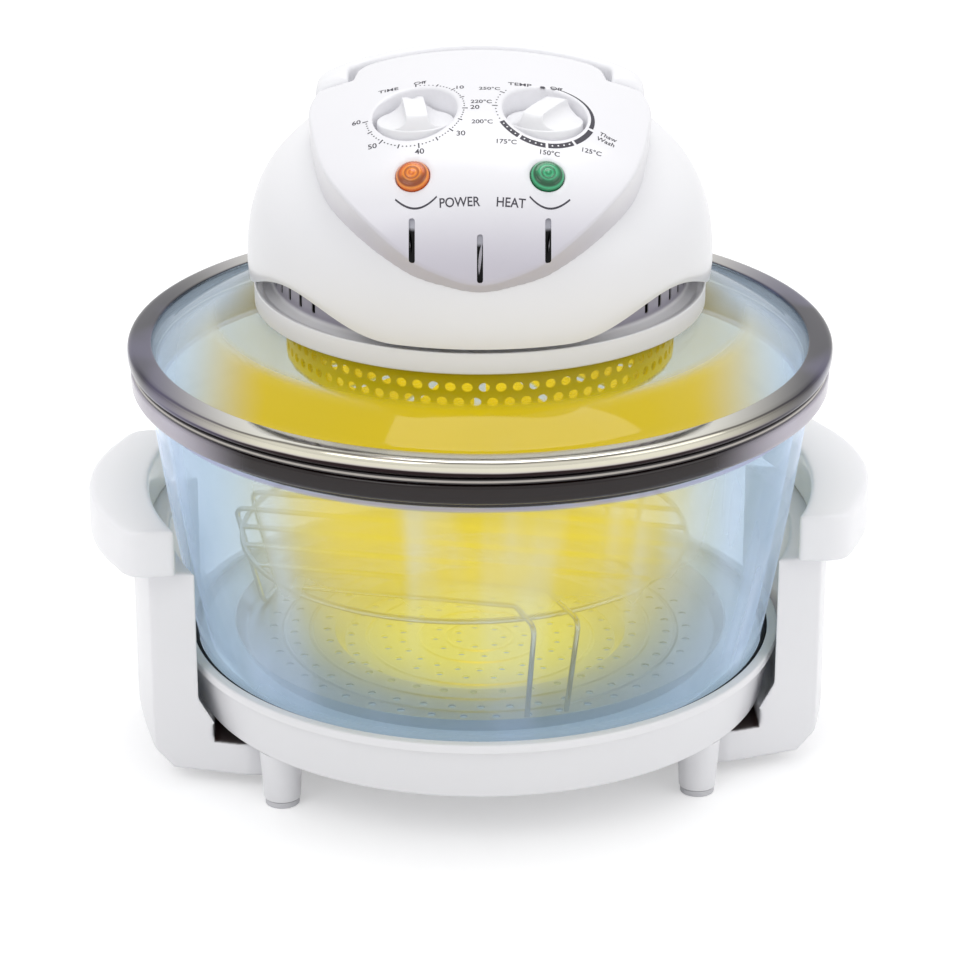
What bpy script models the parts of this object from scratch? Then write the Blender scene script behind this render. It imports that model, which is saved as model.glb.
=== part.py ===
"""Halogen oven: a glass bowl in a white stand, and a glass lid that carries the heater head.

Units are metres, +Z is up, the control panel faces -Y and the origin is on the floor below the bowl's axis.
"""
import math

import bmesh
import bpy
from mathutils import Matrix, Vector

# Clearances and mesh fineness
seat_gap = 0.0003
run_gap = 0.0005
round_steps = 36
small_steps = 20

# Bowl
bowl_wall = 0.0050
bowl_heel_r = 0.1420
bowl_heel_height = 0.0070
bowl_flare = 0.0230
bowl_neck_r = bowl_heel_r + bowl_flare
bowl_bulge = 0.0015
bowl_rim_low_z = 0.1900
bowl_rim_z = 0.2030
bowl_rim_flange = 0.0088
bowl_rim_r = bowl_neck_r + bowl_rim_flange

# Stand
stand_turn = math.radians(3.5)
tray_bottom_z = 0.0300
tray_floor = 0.0028
tray_recess = 0.0085
tray_top_z = 0.0610
tray_margin = 0.0075
tray_side_r = bowl_heel_r + tray_margin
tray_taper = 0.0040
tray_low_r = tray_side_r - tray_taper
tray_lip = 0.0028
tray_lip_r = tray_side_r + tray_lip
tray_lip_height = 0.0045
tray_corner = 0.0012
seat_ring_width = 0.0030
seat_ring_height = 0.0066
seat_ring_play = 0.0005
seat_ring_sink = 0.0016
foot_inset = 0.0115
foot_circle_r = tray_low_r - foot_inset
foot_angle = math.radians(39.5)
foot_top_r = 0.0110
foot_low_r = 0.0093
foot_pad_height = 0.0030
foot_recess_gap = 0.0110
tray_recess_r = foot_circle_r - foot_top_r - foot_recess_gap

# Arms and grips
arm_bottom_z = 0.0070
arm_top_z = 0.1150
arm_gap = 0.0047
arm_inner_r = tray_lip_r + arm_gap
arm_thickness = 0.0190
arm_outer_r = arm_inner_r + arm_thickness
arm_half_width = 0.0570
arm_shoulder_depth = 0.0370
arm_beam_depth = 0.0590
arm_chamfer = 0.0190
arm_window_low_z = 0.0245
arm_window_high_z = 0.0340
arm_window_depth = 0.0200
arm_window_width = 0.0160
arm_window_slope = 0.0130
arm_foot_gap = 0.0030
arm_cut_margin = 0.0300
arm_screw_depth = 0.0450
arm_screw_y = 0.0300
arm_screw_head_r = 0.0040
arm_screw_head = 0.0040
grip_top_z = 0.1400
grip_depth = 0.0303
grip_arc_r = 0.1200
grip_half_width = 0.0690
grip_corner_r = 0.0160
grip_gap = 0.0085
grip_round = 0.0040
grip_corner_trim = 0.0060
grip_side_taper = 0.0020

# Perforated tray and wire rack
dish_margin = 0.0160
dish_r = bowl_heel_r - dish_margin
dish_sheet = 0.0010
dish_shelf = 0.0560
dish_step_r = dish_r - dish_shelf
dish_step = 0.0060
dish_rim = 0.0080
rack_place = (-0.0080, 0.0040)
rack_margin = 0.0130
rack_r = dish_r - rack_margin
rack_z = 0.1060
rack_wire_r = 0.0015
rack_turn = math.radians(-12.0)
rack_wires = 9
rack_bend = 0.0447
rack_bend_step = 0.0102
rack_leg_reach = 0.0150
rack_leg_side_reach = 0.0080
rack_foot_inset = 0.0100
rack_side_foot_inset = 0.0190
rack_leg_angle = math.radians(57.5)
rack_leg_spread = math.radians(5.1)

# Lid
gasket_height = 0.0029
gasket_width = 0.0128
band_overhang = 0.0012
band_r = bowl_rim_r + band_overhang
band_width = 0.0120
band_inner_r = band_r - band_width
band_height = 0.0085
band_sheet = 0.0018
glass_thickness = 0.0042
glass_edge_inset = 0.0035
glass_edge_r = band_r - glass_edge_inset
glass_flange = 0.0125
glass_bend_r = glass_edge_r - glass_flange
glass_rise = 0.0203

# Head base with its vents
ring_r = 0.1094
ring_height = 0.0107
ring_lip = 0.0014
ring_cover = 0.0109
glass_hole_r = ring_r - ring_cover
ring_ledge = 0.0094
vent_wall_r = ring_r - ring_ledge
vent_wall_top_z = 0.2620
shell = 0.0022
base_plate_lift = 0.0014
vent_count = 5
vent_width = 0.0027
vent_pitch = math.radians(6.4)
vent_centre = math.radians(26.0)
vent_lift = 0.0050
vent_end_gap = 0.0012

# Dome
dome_overhang = 0.0050
dome_r = ring_r + dome_overhang
dome_foot_z = 0.2550
dome_rise = 0.0840
dome_power = 2.5
dome_edge_z = 0.2462
dome_tuck = 0.0010
dome_edge_r = dome_r - dome_tuck
dome_wave = 0.0112
dome_wave_centre = math.radians(33.0)
dome_wave_span = math.radians(31.0)
dome_opening_inset = 0.0055

# Control panel: the crown is a rounded profile along Y that droops to both sides
crown_overhang = 0.0031
crown_reach = dome_r + crown_overhang
crown_foot_z = 0.2610
crown_rise = 0.0930
crown_power = 2.3
crown_side_r = 0.2000
crown_half_width = 0.0900
crown_slices = 11
crown_skirt = 0.0200
panel_wall = 0.0025
panel_tilt = math.radians(30.0)
panel_centre_y = -0.0450
panel_centre_z = 0.3450
panel_half_depth = 0.0600
panel_tip = -0.0943
panel_back = 0.0640
panel_shoulder = [(0.0322, -0.0858), (0.0511, -0.0713), (0.0675, -0.0510), (0.0760, -0.0306),
                  (0.0813, 0.0020), (0.0815, 0.0200), (0.0783, 0.0360)]
panel_notch = (0.0615, 0.0376)
panel_rear = [(0.0595, 0.0520), (0.0520, 0.0600), (0.0300, 0.0630)]

# Dials, lamps and slots on the panel
dial_x = 0.0305
dial_y = -0.0527
dial_lean = math.radians(2.0)
well_r = 0.0200
well_wall = 0.0020
well_cut_height = 0.0500
knob_r = 0.0182
knob_rise = 0.0036
knob_skirt = 0.0063
knob_bar_height = 0.0075
knob_bar_width = 0.0100
knob_flare = 0.0075
knob_cut_margin = 0.0020
knob_lobe_fall = 0.0006
timer_knob_turn = math.radians(5.0)
thermostat_knob_turn = math.radians(-24.0)
shaft_r = 0.0030
shaft_hole_r = 0.0036
shaft_bite = 0.0060
body_bore = 0.0090
timer_body_r = 0.0180
timer_body_length = 0.0200
thermostat_body_r = 0.0150
thermostat_body_length = 0.0180
lamp_x = 0.0312
lamp_y = -0.0907
lens_r = 0.0078
lens_seat = 0.0040
lens_dome = 0.0042
lens_cut_depth = 0.0200
lamp_body_r = 0.0045
lamp_body_length = 0.0110
slot_width = 0.0028
slot_depth = 0.0225
side_slot_x = 0.0314
side_slot_low_z = 0.2870
side_slot_high_z = 0.3080
middle_slot_low_z = 0.2790
middle_slot_high_z = 0.3018

# Handle, its pins and the safety switch
handle_pivot_y = 0.0130
handle_pivot_z = 0.3375
handle_lift = 0.0020
handle_depth = 0.0110
handle_outer_x = 0.0800
handle_arm_width = 0.0145
handle_inner_x = handle_outer_x - handle_arm_width
handle_back_y = 0.0505
handle_bar_width = 0.0145
handle_bar_y = handle_back_y - handle_bar_width
handle_corner_r = 0.0260
handle_hub_r = 0.0055
handle_hub_inset = 0.0002
handle_pin_r = 0.0025
handle_pin_inner_x = 0.0455
handle_pin_inset = 0.0040
handle_rib = 0.0020
handle_rib_gap = 0.0010
handle_rib_half = 0.0080
handle_rib_foot = 0.0010
cam_width = 0.0050
cam_low_r = 0.0050
cam_travel = 0.0030
cam_sweep = math.radians(90.0)
plunger_r = 0.0020
plunger_length = 0.0120
plunger_rise = 0.0070
switch_depth = 0.0200
switch_height = 0.0130
switch_width = 0.0070

# Heater, fans and motor
cage_inset = 0.0023
cage_r = glass_hole_r - cage_inset
cage_sheet = 0.0009
cage_bottom_z = 0.2085
cage_flange = 0.0080
reflector_sheet = 0.0010
reflector_lip = 0.0040
guard_sheet = 0.0012
guard_slots = 16
guard_slot_width = 0.0055
guard_hub_r = 0.0200
guard_rim = 0.0100
lamp_ring_inset = 0.0242
lamp_ring_r = cage_r - lamp_ring_inset
lamp_tube_r = 0.0050
lamp_z = 0.2200
lamp_gap_angle = math.radians(46.0)
holder_length = 0.0140
holder_width = 0.0120
holder_rim = 0.0010
holder_gap = 0.0007
drive_shaft_r = 0.0030
shaft_hole_play = 0.0015
hub_r = 0.0080
fan_margin = 0.0220
fan_r = lamp_ring_r - fan_margin
fan_height = 0.0080
fan_z = 0.2180
fan_blades = 5
fan_blade = 0.0012
fan_blade_share = 0.62
fan_pitch = math.radians(32.0)
cooler_r = 0.0370
cooler_height = 0.0080
cooler_blades = 6
cooler_lift = 0.0030
motor_r = 0.0280
motor_height = 0.0400
bracket_flange = 0.0150
bracket_r = motor_r + bracket_flange
bracket_sheet = 0.0020
bracket_height = 0.0120
bracket_ledge = 0.0120
shaft_end = 0.0010

# Cord gland at the back
gland_z = 0.2780
gland_r = 0.0075
gland_flange_r = 0.0100
gland_bore_r = 0.0040
gland_length = 0.0200
gland_flange = 0.0030
gland_set_in = 0.0070
gland_cut_reach = 0.0300
cut_margin = 0.0010


def clear_scene():
    for item in list(bpy.data.objects):
        bpy.data.objects.remove(item, do_unlink=True)


def collection_named(name):
    group = bpy.data.collections.new(name)
    bpy.context.scene.collection.children.link(group)
    return group


clear_scene()
parts = collection_named("halogen_oven")
tools = collection_named("halogen_oven_cutters")


def finish(name, colour, roughness, metallic=0.0, alpha=1.0):
    """A Principled material in one plain colour."""
    made = bpy.data.materials.new(name)
    made.use_nodes = True
    shader = made.node_tree.nodes["Principled BSDF"]
    shader.inputs["Base Color"].default_value = (*colour, 1.0)
    shader.inputs["Roughness"].default_value = roughness
    shader.inputs["Metallic"].default_value = metallic
    shader.inputs["Alpha"].default_value = alpha
    return made


white = finish("white_plastic", (0.86, 0.86, 0.87), 0.30)
steel = finish("bright_steel", (0.75, 0.74, 0.72), 0.18, 1.0)
glass = finish("tinted_glass", (0.70, 0.80, 0.92), 0.03, 0.0, 0.35)
dark_rubber = finish("dark_rubber", (0.03, 0.03, 0.035), 0.70)
pale_rubber = finish("pale_rubber", (0.72, 0.72, 0.74), 0.60)
grey_metal = finish("grey_metal", (0.55, 0.55, 0.56), 0.40, 1.0)
black_plastic = finish("black_plastic", (0.04, 0.04, 0.045), 0.45)
quartz = finish("quartz_tube", (1.00, 0.85, 0.45), 0.10)
ceramic = finish("ceramic", (0.90, 0.88, 0.82), 0.60)
amber = finish("amber_lens", (0.90, 0.35, 0.03), 0.12)
green = finish("green_lens", (0.02, 0.45, 0.22), 0.12)


def place(name, mesh, surface, matrix=Matrix.Identity(4)):
    """Links a mesh as one of the oven's pieces."""
    item = bpy.data.objects.new(name, mesh)
    item.matrix_world = matrix
    item.data.materials.clear()
    item.data.materials.append(surface)
    parts.objects.link(item)
    return item


def as_tool(item):
    """Moves an object out of the pieces and marks it as a cutter."""
    for group in list(item.users_collection):
        group.objects.unlink(item)
    tools.objects.link(item)
    item.hide_render = True
    item.display_type = "WIRE"
    return item


def combine(item, tool, operation):
    step = item.modifiers.new(operation.lower(), "BOOLEAN")
    step.operation = operation
    step.solver = "EXACT"
    step.object = as_tool(tool)
    return item


def cut(item, *cutters):
    for tool in cutters:
        combine(item, tool, "DIFFERENCE")
    return item


def join(item, *others):
    for tool in others:
        combine(item, tool, "UNION")
    return item


def from_bmesh(name, work, surface, matrix=Matrix.Identity(4)):
    mesh = bpy.data.meshes.new(name)
    work.to_mesh(mesh)
    work.free()
    return place(name, mesh, surface, matrix)


def block(name, low, high, surface=white, matrix=Matrix.Identity(4)):
    """A box between two opposite corners."""
    size = Vector(high) - Vector(low)
    centre = (Vector(high) + Vector(low)) / 2
    work = bmesh.new()
    bmesh.ops.create_cube(work, size=1.0, matrix=Matrix.Translation(centre) @ Matrix.Diagonal((*size, 1.0)))
    return from_bmesh(name, work, surface, matrix)


def rod(name, radius, low, high, surface=white, matrix=Matrix.Identity(4), top_radius=None, steps=small_steps):
    """A cylinder or cone along the local Z axis, from low to high."""
    work = bmesh.new()
    bmesh.ops.create_cone(work, cap_ends=True, segments=steps, radius1=radius,
                          radius2=radius if top_radius is None else top_radius, depth=high - low,
                          matrix=Matrix.Translation((0, 0, (low + high) / 2)))
    return shade(from_bmesh(name, work, surface, matrix))


def shade(item):
    item.data.shade_smooth()
    item.data.set_sharp_from_angle(angle=math.radians(35))
    return item


def turned(name, outline, surface, steps=round_steps, matrix=Matrix.Identity(4)):
    """Turns an outline of (radius, height) points about the local Z axis."""
    closed = min(radius for radius, height in outline) > 0
    if not closed:
        last = next(i for i, point in enumerate(outline) if point[0] == 0 and outline[i - 1][0] == 0)
        outline = outline[last:] + outline[:last]
    area = sum(a[0] * b[1] - b[0] * a[1] for a, b in zip(outline, outline[1:] + outline[:1]))
    points = outline if area < 0 else outline[::-1]
    edges = [(i, i + 1) for i in range(len(points) - 1)]
    if closed:
        edges.append((len(points) - 1, 0))
    mesh = bpy.data.meshes.new(name)
    mesh.from_pydata([(radius, 0, height) for radius, height in points], edges, [])
    item = place(name, mesh, surface, matrix)
    turn = item.modifiers.new("turn", "SCREW")
    turn.axis = "Z"
    turn.steps = steps
    turn.render_steps = steps
    turn.use_merge_vertices = True
    turn.merge_threshold = 0.00001
    return item


def baked(item):
    """Turns a curve, or an object with modifiers, into a plain welded mesh."""
    bpy.context.view_layer.update()
    graph = bpy.context.evaluated_depsgraph_get()
    mesh = bpy.data.meshes.new_from_object(item.evaluated_get(graph))
    work = bmesh.new()
    work.from_mesh(mesh)
    bmesh.ops.remove_doubles(work, verts=work.verts, dist=0.000001)
    work.to_mesh(mesh)
    work.free()
    name = item.name
    matrix = item.matrix_world.copy()
    surface = item.data.materials[0]
    bpy.data.objects.remove(item, do_unlink=True)
    return place(name, mesh, surface, matrix)


def slab(name, outline, low, high, surface=white, matrix=Matrix.Identity(4)):
    """A flat outline in local XY, filled and extruded from low to high."""
    curve = bpy.data.curves.new(name, "CURVE")
    curve.dimensions = "2D"
    curve.fill_mode = "BOTH"
    curve.extrude = (high - low) / 2
    spline = curve.splines.new("POLY")
    spline.points.add(len(outline) - 1)
    for point, (x, y) in zip(spline.points, outline):
        point.co = (x, y, 0, 1)
    spline.use_cyclic_u = True
    item = place(name, curve, surface, matrix @ Matrix.Translation((0, 0, (low + high) / 2)))
    return baked(item)


def tube(name, points, radius, surface, cyclic=False, sides=1):
    """A wire along a chain of points."""
    curve = bpy.data.curves.new(name, "CURVE")
    curve.dimensions = "3D"
    curve.bevel_depth = radius
    curve.bevel_resolution = sides
    curve.use_fill_caps = True
    spline = curve.splines.new("POLY")
    spline.points.add(len(points) - 1)
    for point, place_at in zip(spline.points, points):
        point.co = (*place_at, 1)
    spline.use_cyclic_u = cyclic
    return shade(baked(place(name, curve, surface)))


def arc(centre, radius, start, end, count):
    """Points on a circle from one angle to another, in radians."""
    return [(centre[0] + radius * math.cos(start + (end - start) * i / count),
             centre[1] + radius * math.sin(start + (end - start) * i / count)) for i in range(count + 1)]


def smooth(points, per_span=3):
    """A smooth curve through the points, ends included."""
    padded = [points[0]] + points + [points[-1]]
    curve = []
    for a, b, c, d in zip(padded, padded[1:], padded[2:], padded[3:]):
        for i in range(per_span):
            t = i / per_span
            curve.append(tuple(0.5 * (2 * q + (r - p) * t + (2 * p - 5 * q + 4 * r - s) * t * t
                                      + (3 * q - p - 3 * r + s) * t ** 3) for p, q, r, s in zip(a, b, c, d)))
    return curve + [points[-1]]


def inset(outline, distance):
    """Moves each corner of a counter-clockwise outline inward along its mean normal."""
    moved = []
    for i, here in enumerate(outline):
        before = Vector(here) - Vector(outline[i - 1])
        after = Vector(outline[(i + 1) % len(outline)]) - Vector(here)
        normal = (Vector((-before.y, before.x)).normalized() + Vector((-after.y, after.x)).normalized()) / 2
        moved.append(tuple(Vector(here) + normal * distance / normal.length_squared))
    return moved


def pivot(name, matrix):
    """An empty on a joint's axis, which carries the pieces that move there."""
    item = bpy.data.objects.new(name, None)
    item.empty_display_size = 0.02
    item.matrix_world = matrix
    parts.objects.link(item)
    return item


def carry(parent, *children):
    bpy.context.view_layer.update()
    for child in children:
        world = child.matrix_world.copy()
        child.parent = parent
        child.matrix_parent_inverse = parent.matrix_world.inverted()
        child.matrix_world = world


# Derived places
foot_top_z = tray_bottom_z - seat_gap
tray_floor_z = tray_bottom_z + tray_recess + tray_floor
bowl_bottom_z = tray_floor_z + seat_gap
bowl_floor_z = bowl_bottom_z + bowl_wall
bowl_wall_low_z = bowl_bottom_z + bowl_heel_height
gasket_low_z = bowl_rim_z + seat_gap
band_low_z = gasket_low_z + gasket_height + seat_gap
band_top_z = band_low_z + band_height
glass_low_z = band_low_z + band_sheet + seat_gap
glass_flange_z = glass_low_z + glass_thickness
ring_low_z = glass_flange_z + glass_rise + seat_gap
ring_top_z = ring_low_z + ring_height
plate_low_z = ring_low_z + base_plate_lift
plate_top_z = plate_low_z + shell
dish_low_z = bowl_floor_z + seat_gap
dish_shelf_z = dish_low_z + dish_sheet + dish_step
motor_low_z = plate_top_z + bracket_sheet + 2 * seat_gap
motor_top_z = motor_low_z + motor_height
cooler_z = motor_top_z + run_gap + cooler_lift
stand_frame = Matrix.Rotation(stand_turn, 4, "Z")
rack_frame = Matrix.Translation((*rack_place, 0)) @ Matrix.Rotation(rack_turn, 4, "Z")


def bowl_outer_r(height):
    share = (height - bowl_wall_low_z) / (bowl_rim_low_z - bowl_wall_low_z)
    return bowl_heel_r + (bowl_neck_r - bowl_heel_r) * share + bowl_bulge * 4 * share * (1 - share)


def dome_z(radius, grow=0.0):
    share = min(radius / (dome_r + grow), 1.0)
    return dome_foot_z + (dome_rise + grow) * (1 - share ** dome_power) ** (1 / dome_power)


def crown_z(x, y):
    share = min(abs(y) / crown_reach, 1.0)
    return crown_foot_z + crown_rise * (1 - share ** crown_power) ** (1 / crown_power) - x * x / (2 * crown_side_r)


def crown_frame(x, y):
    """A frame on the crown at x, y: local Z leaves the face and local Y runs up its slope."""
    step = 0.0005
    slope_x = (crown_z(x + step, y) - crown_z(x - step, y)) / (2 * step)
    slope_y = (crown_z(x, y + step) - crown_z(x, y - step)) / (2 * step)
    normal = Vector((-slope_x, -slope_y, 1)).normalized()
    across = Vector((0, 1, 0)).cross(normal).normalized()
    up = normal.cross(across)
    frame = Matrix((across, up, normal)).transposed().to_4x4()
    return Matrix.Translation((x, y, crown_z(x, y))) @ frame


def build_stand():
    lip_low_z = tray_top_z - tray_lip_height
    ledge_z = tray_top_z - seat_gap - seat_ring_height - seat_ring_sink
    ledge_r = bowl_outer_r(ledge_z) + run_gap + seat_ring_play
    pocket_r = ledge_r + seat_ring_width + seat_gap
    recess_z = tray_bottom_z + tray_recess
    turned("base_tray", [
        (0.0, tray_floor_z), (bowl_heel_r - 0.006, tray_floor_z), (ledge_r, tray_floor_z + 0.003),
        (ledge_r, ledge_z), (pocket_r, ledge_z), (pocket_r, tray_top_z - 0.0008),
        (pocket_r + tray_corner, tray_top_z), (tray_lip_r - tray_corner, tray_top_z),
        (tray_lip_r, tray_top_z - tray_corner),
        (tray_lip_r, lip_low_z), (tray_side_r, lip_low_z - 0.001), (tray_low_r + 0.0015, tray_bottom_z + 0.002),
        (tray_low_r, tray_bottom_z), (tray_recess_r, tray_bottom_z), (tray_recess_r - 0.0010, recess_z),
        (0.0, recess_z)], white)
    ring_low = ledge_z + seat_gap
    ring_high = ring_low + seat_ring_height
    turned("seat_ring", [
        (ledge_r, ring_low), (pocket_r - seat_gap, ring_low), (pocket_r - seat_gap, ring_high - 0.001),
        (pocket_r - seat_gap - 0.001, ring_high),
        (bowl_outer_r(ring_high) + seat_gap + 0.0002, ring_high)], dark_rubber)
    for i, (sx, sy) in enumerate([(-1, -1), (1, -1), (1, 1), (-1, 1)], start=1):
        spot = stand_frame @ Matrix.Translation((sx * foot_circle_r * math.cos(foot_angle),
                                                 sy * foot_circle_r * math.sin(foot_angle), 0))
        rod(f"foot_{i}", foot_low_r, foot_pad_height + seat_gap, foot_top_z, white, spot, foot_top_r)
        rod(f"foot_pad_{i}", foot_low_r - 0.0008, 0, foot_pad_height, pale_rubber, spot)


def arm_plan():
    """Plan of one arm: a foot beam that stays clear of the feet, and a round outer face."""
    beam_y = foot_circle_r * math.sin(foot_angle) - foot_top_r - arm_foot_gap
    beam_x = arm_inner_r - arm_beam_depth
    shoulder_x = arm_inner_r - arm_shoulder_depth
    corner = math.asin(arm_half_width / arm_outer_r)
    return ([(beam_x, -beam_y), (shoulder_x, -beam_y)] + arc((0, 0), arm_outer_r, -corner, corner, 10)
            + [(shoulder_x, beam_y), (beam_x, beam_y)])


def build_arm(side, frame):
    """An upright with its foot beam, hollowed around the bowl and the tray."""
    beam_top_z = tray_bottom_z - seat_gap
    arm = slab(f"arm_{side}", arm_plan(), arm_bottom_z, arm_top_z - seat_gap, white, frame)
    above = arm_top_z + arm_cut_margin
    cut(arm, turned(f"arm_{side}_hollow", [
        (0.0, above), (arm_inner_r, above), (arm_inner_r, arm_window_high_z + arm_window_slope),
        (tray_side_r + tray_corner, arm_window_high_z), (tray_side_r, beam_top_z), (0.0, beam_top_z)], white,
        matrix=frame))
    slope = Matrix.Translation((arm_outer_r, 0, arm_bottom_z)) @ Matrix.Rotation(math.radians(45), 4, "Y")
    half = arm_chamfer / math.sqrt(2)
    cut(arm, block(f"arm_{side}_chamfer", (-half, -arm_outer_r, -half), (half, arm_outer_r, half), white,
                   frame @ slope))
    for end in (-1, 1):
        window = [end * (arm_half_width - arm_window_width), end * (arm_half_width + arm_cut_margin)]
        cut(arm, block(f"arm_{side}_window_{end}",
                       (arm_inner_r - arm_beam_depth - seat_gap, min(window), arm_window_low_z),
                       (arm_inner_r - arm_window_depth, max(window), arm_window_high_z), white, frame))
        spot = frame @ Matrix.Translation((arm_inner_r - arm_screw_depth, end * arm_screw_y, 0))
        cut(arm, rod(f"arm_{side}_screw_seat_{end}", arm_screw_head_r + run_gap, arm_bottom_z - cut_margin,
                     arm_bottom_z + arm_screw_head, white, spot))
        number = {("left", -1): 1, ("right", -1): 2, ("right", 1): 3, ("left", 1): 4}[(side, end)]
        rod(f"arm_screw_{number}", arm_screw_head_r, arm_bottom_z + run_gap,
            arm_bottom_z + arm_screw_head - seat_gap, steel, spot, steps=12)


def build_grip(side, frame):
    """A D-shaped ear on top of the arm, hollowed around the bowl."""
    inner_r = bowl_outer_r(grip_top_z) + grip_gap
    arc_x = inner_r + grip_depth - grip_arc_r
    swing = math.asin((grip_half_width - grip_corner_r) / grip_arc_r)
    outer = arc((arc_x, 0), grip_arc_r, -swing, swing, 10)
    corner_in = math.sqrt(inner_r ** 2 - grip_half_width ** 2) - grip_corner_trim
    outline = [(corner_in, -grip_half_width)] + smooth(
        [(outer[0][0] - grip_corner_r, grip_side_taper - grip_half_width), outer[0]], 3)[:-1] + outer + smooth(
        [outer[-1], (outer[-1][0] - grip_corner_r, grip_half_width - grip_side_taper)], 3)[1:] + [
        (corner_in, grip_half_width)]
    grip = slab(f"grip_{side}", outline, arm_top_z, grip_top_z, white, frame)
    cut(grip, turned(f"grip_{side}_hollow", [
        (0.0, grip_top_z + arm_cut_margin), (inner_r, grip_top_z + arm_cut_margin),
        (inner_r, arm_top_z - arm_cut_margin), (0.0, arm_top_z - arm_cut_margin)], white, matrix=frame))
    edge = grip.modifiers.new("round", "BEVEL")
    edge.width = grip_round
    edge.segments = 2
    edge.angle_limit = math.radians(50)


def build_bowl():
    wall_heights = [bowl_wall_low_z + (bowl_rim_low_z - bowl_wall_low_z) * i / 4 for i in range(5)]
    outer = [(bowl_outer_r(height), height) for height in reversed(wall_heights)]
    inner = [(bowl_outer_r(height) - bowl_wall, height) for height in wall_heights[1:]]
    turned("glass_bowl", [
        (bowl_neck_r - bowl_wall + 0.0010, bowl_rim_z), (bowl_rim_r - 0.0020, bowl_rim_z),
        (bowl_rim_r, bowl_rim_z - 0.0020), (bowl_rim_r, bowl_rim_low_z + 0.0060),
        (bowl_rim_r - 0.0020, bowl_rim_low_z + 0.0026)] + outer + [
        (bowl_heel_r - 0.0018, bowl_wall_low_z - 0.0035), (bowl_heel_r - 0.0055, bowl_bottom_z + 0.0009),
        (bowl_heel_r - 0.0110, bowl_bottom_z), (0.0, bowl_bottom_z), (0.0, bowl_floor_z),
        (bowl_heel_r - 0.0140, bowl_floor_z), (bowl_heel_r - 0.0075, bowl_floor_z + 0.0022)] + inner + [
        (bowl_neck_r - bowl_wall, bowl_rim_z - 0.0010)], glass)


def build_dish():
    """The perforated tray: a sunk centre, a raised shelf and a turned-up rim."""
    shelf_low = dish_low_z + dish_step
    rim_z = shelf_low + dish_sheet + dish_rim
    turned("perforated_tray", [
        (0.0, dish_low_z + dish_sheet), (dish_step_r - 0.0006, dish_low_z + dish_sheet),
        (dish_step_r + 0.0054, shelf_low + dish_sheet), (dish_r - 0.0066, shelf_low + dish_sheet),
        (dish_r - dish_sheet, rim_z), (dish_r, rim_z), (dish_r - 0.0052, shelf_low),
        (dish_step_r + 0.0060, shelf_low), (dish_step_r, dish_low_z), (0.0, dish_low_z)], steel)


def rack_wire_path(number):
    """One wire in the rack's own frame: the outer ones and two middle ones run on past the ring as legs."""
    offset = rack_r * (2 * (number + 1) / (rack_wires + 1) - 1)
    half = math.sqrt(rack_r ** 2 - offset ** 2)
    wire_z = rack_z + rack_wire_r
    foot_r = dish_r - rack_foot_inset
    leg_top_r = rack_r + rack_leg_reach
    leg_side_r = rack_r + rack_leg_side_reach
    foot_z = dish_shelf_z + seat_gap + rack_wire_r
    left = [(-half, offset, wire_z)]
    right = [(half, offset, wire_z)]
    from_edge = min(number, rack_wires - 1 - number)
    if from_edge < 2:
        side = math.copysign(1, offset)
        angle = side * (rack_leg_angle + rack_leg_spread * (1 - 2 * from_edge))
        if side < 0:
            foot_z -= rack_wire_r * 0.65
        right = [(rack_bend + rack_bend_step * from_edge, offset, wire_z),
                 (leg_top_r * math.cos(angle), leg_top_r * math.sin(angle), wire_z),
                 (foot_r * math.cos(angle), foot_r * math.sin(angle), foot_z)]
    elif number - rack_wires // 2 in (0, 1):
        reach = math.sqrt(leg_side_r ** 2 - offset ** 2)
        share = (dish_r - rack_side_foot_inset) / leg_side_r
        left = [(-reach * share, offset * share, foot_z), (-reach, offset, wire_z)]
    return [tuple(rack_frame @ Vector(point)) for point in left + right]


def build_rack():
    """The wire rack: a ring, and parallel wires on top of it that turn down into three pairs of legs."""
    wire_r = rack_wire_r - 0.0001
    circle = arc((0, 0), rack_r, 0, 2 * math.pi, round_steps)[:-1]
    ring = tube("wire_rack", [tuple(rack_frame @ Vector((*point, rack_z))) for point in circle], rack_wire_r,
                steel, cyclic=True)
    paths = [rack_wire_path(number) for number in range(rack_wires)]
    for number, path in enumerate(paths):
        join(ring, tube(f"rack_wire_{number}", path, wire_r, steel))
    middle = rack_wires // 2
    loops = [("rear", paths[-1][-1], paths[-2][-1]), ("side", paths[middle][0], paths[middle + 1][0])]
    for name, first, last in loops:
        along = (Vector(last) - Vector(first)).normalized() * wire_r * 0.5
        ends = [tuple(Vector(first) - along), tuple(Vector(last) + along)]
        join(ring, tube(f"rack_foot_{name}", ends, wire_r - 0.0001, steel))


def build_lid():
    inner_r = bowl_rim_r - gasket_width
    outer_r = bowl_rim_r - run_gap
    turned("lid_gasket", [
        (inner_r, gasket_low_z + gasket_height), (outer_r, gasket_low_z + gasket_height),
        (outer_r, gasket_low_z), (inner_r, gasket_low_z)], dark_rubber)
    lip = band_inner_r + 0.0025
    channel_r = glass_edge_r + seat_gap
    turned("lid_band", [
        (band_inner_r + 0.0010, band_top_z), (band_r - 0.0022, band_top_z), (band_r, band_top_z - 0.0026),
        (band_r, band_low_z + 0.0026), (band_r - 0.0022, band_low_z), (lip, band_low_z),
        (lip, band_low_z + band_sheet), (channel_r, band_low_z + band_sheet),
        (channel_r, glass_flange_z + seat_gap), (band_inner_r, glass_flange_z + seat_gap),
        (band_inner_r, band_top_z - 0.0008)], steel)
    shares = [i / 5 for i in range(6)]
    slope = [(glass_bend_r + (glass_hole_r - glass_bend_r) * share,
              glass_flange_z + glass_rise * math.sin(share * math.pi / 2)) for share in shares]
    turned("lid_glass", [
        *reversed(slope), (glass_edge_r - 0.0010, glass_flange_z), (glass_edge_r, glass_flange_z - 0.0010),
        (glass_edge_r, glass_low_z + 0.0010), (glass_edge_r - 0.0010, glass_low_z),
        *[(radius, height - glass_thickness) for radius, height in slope]], glass)


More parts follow.
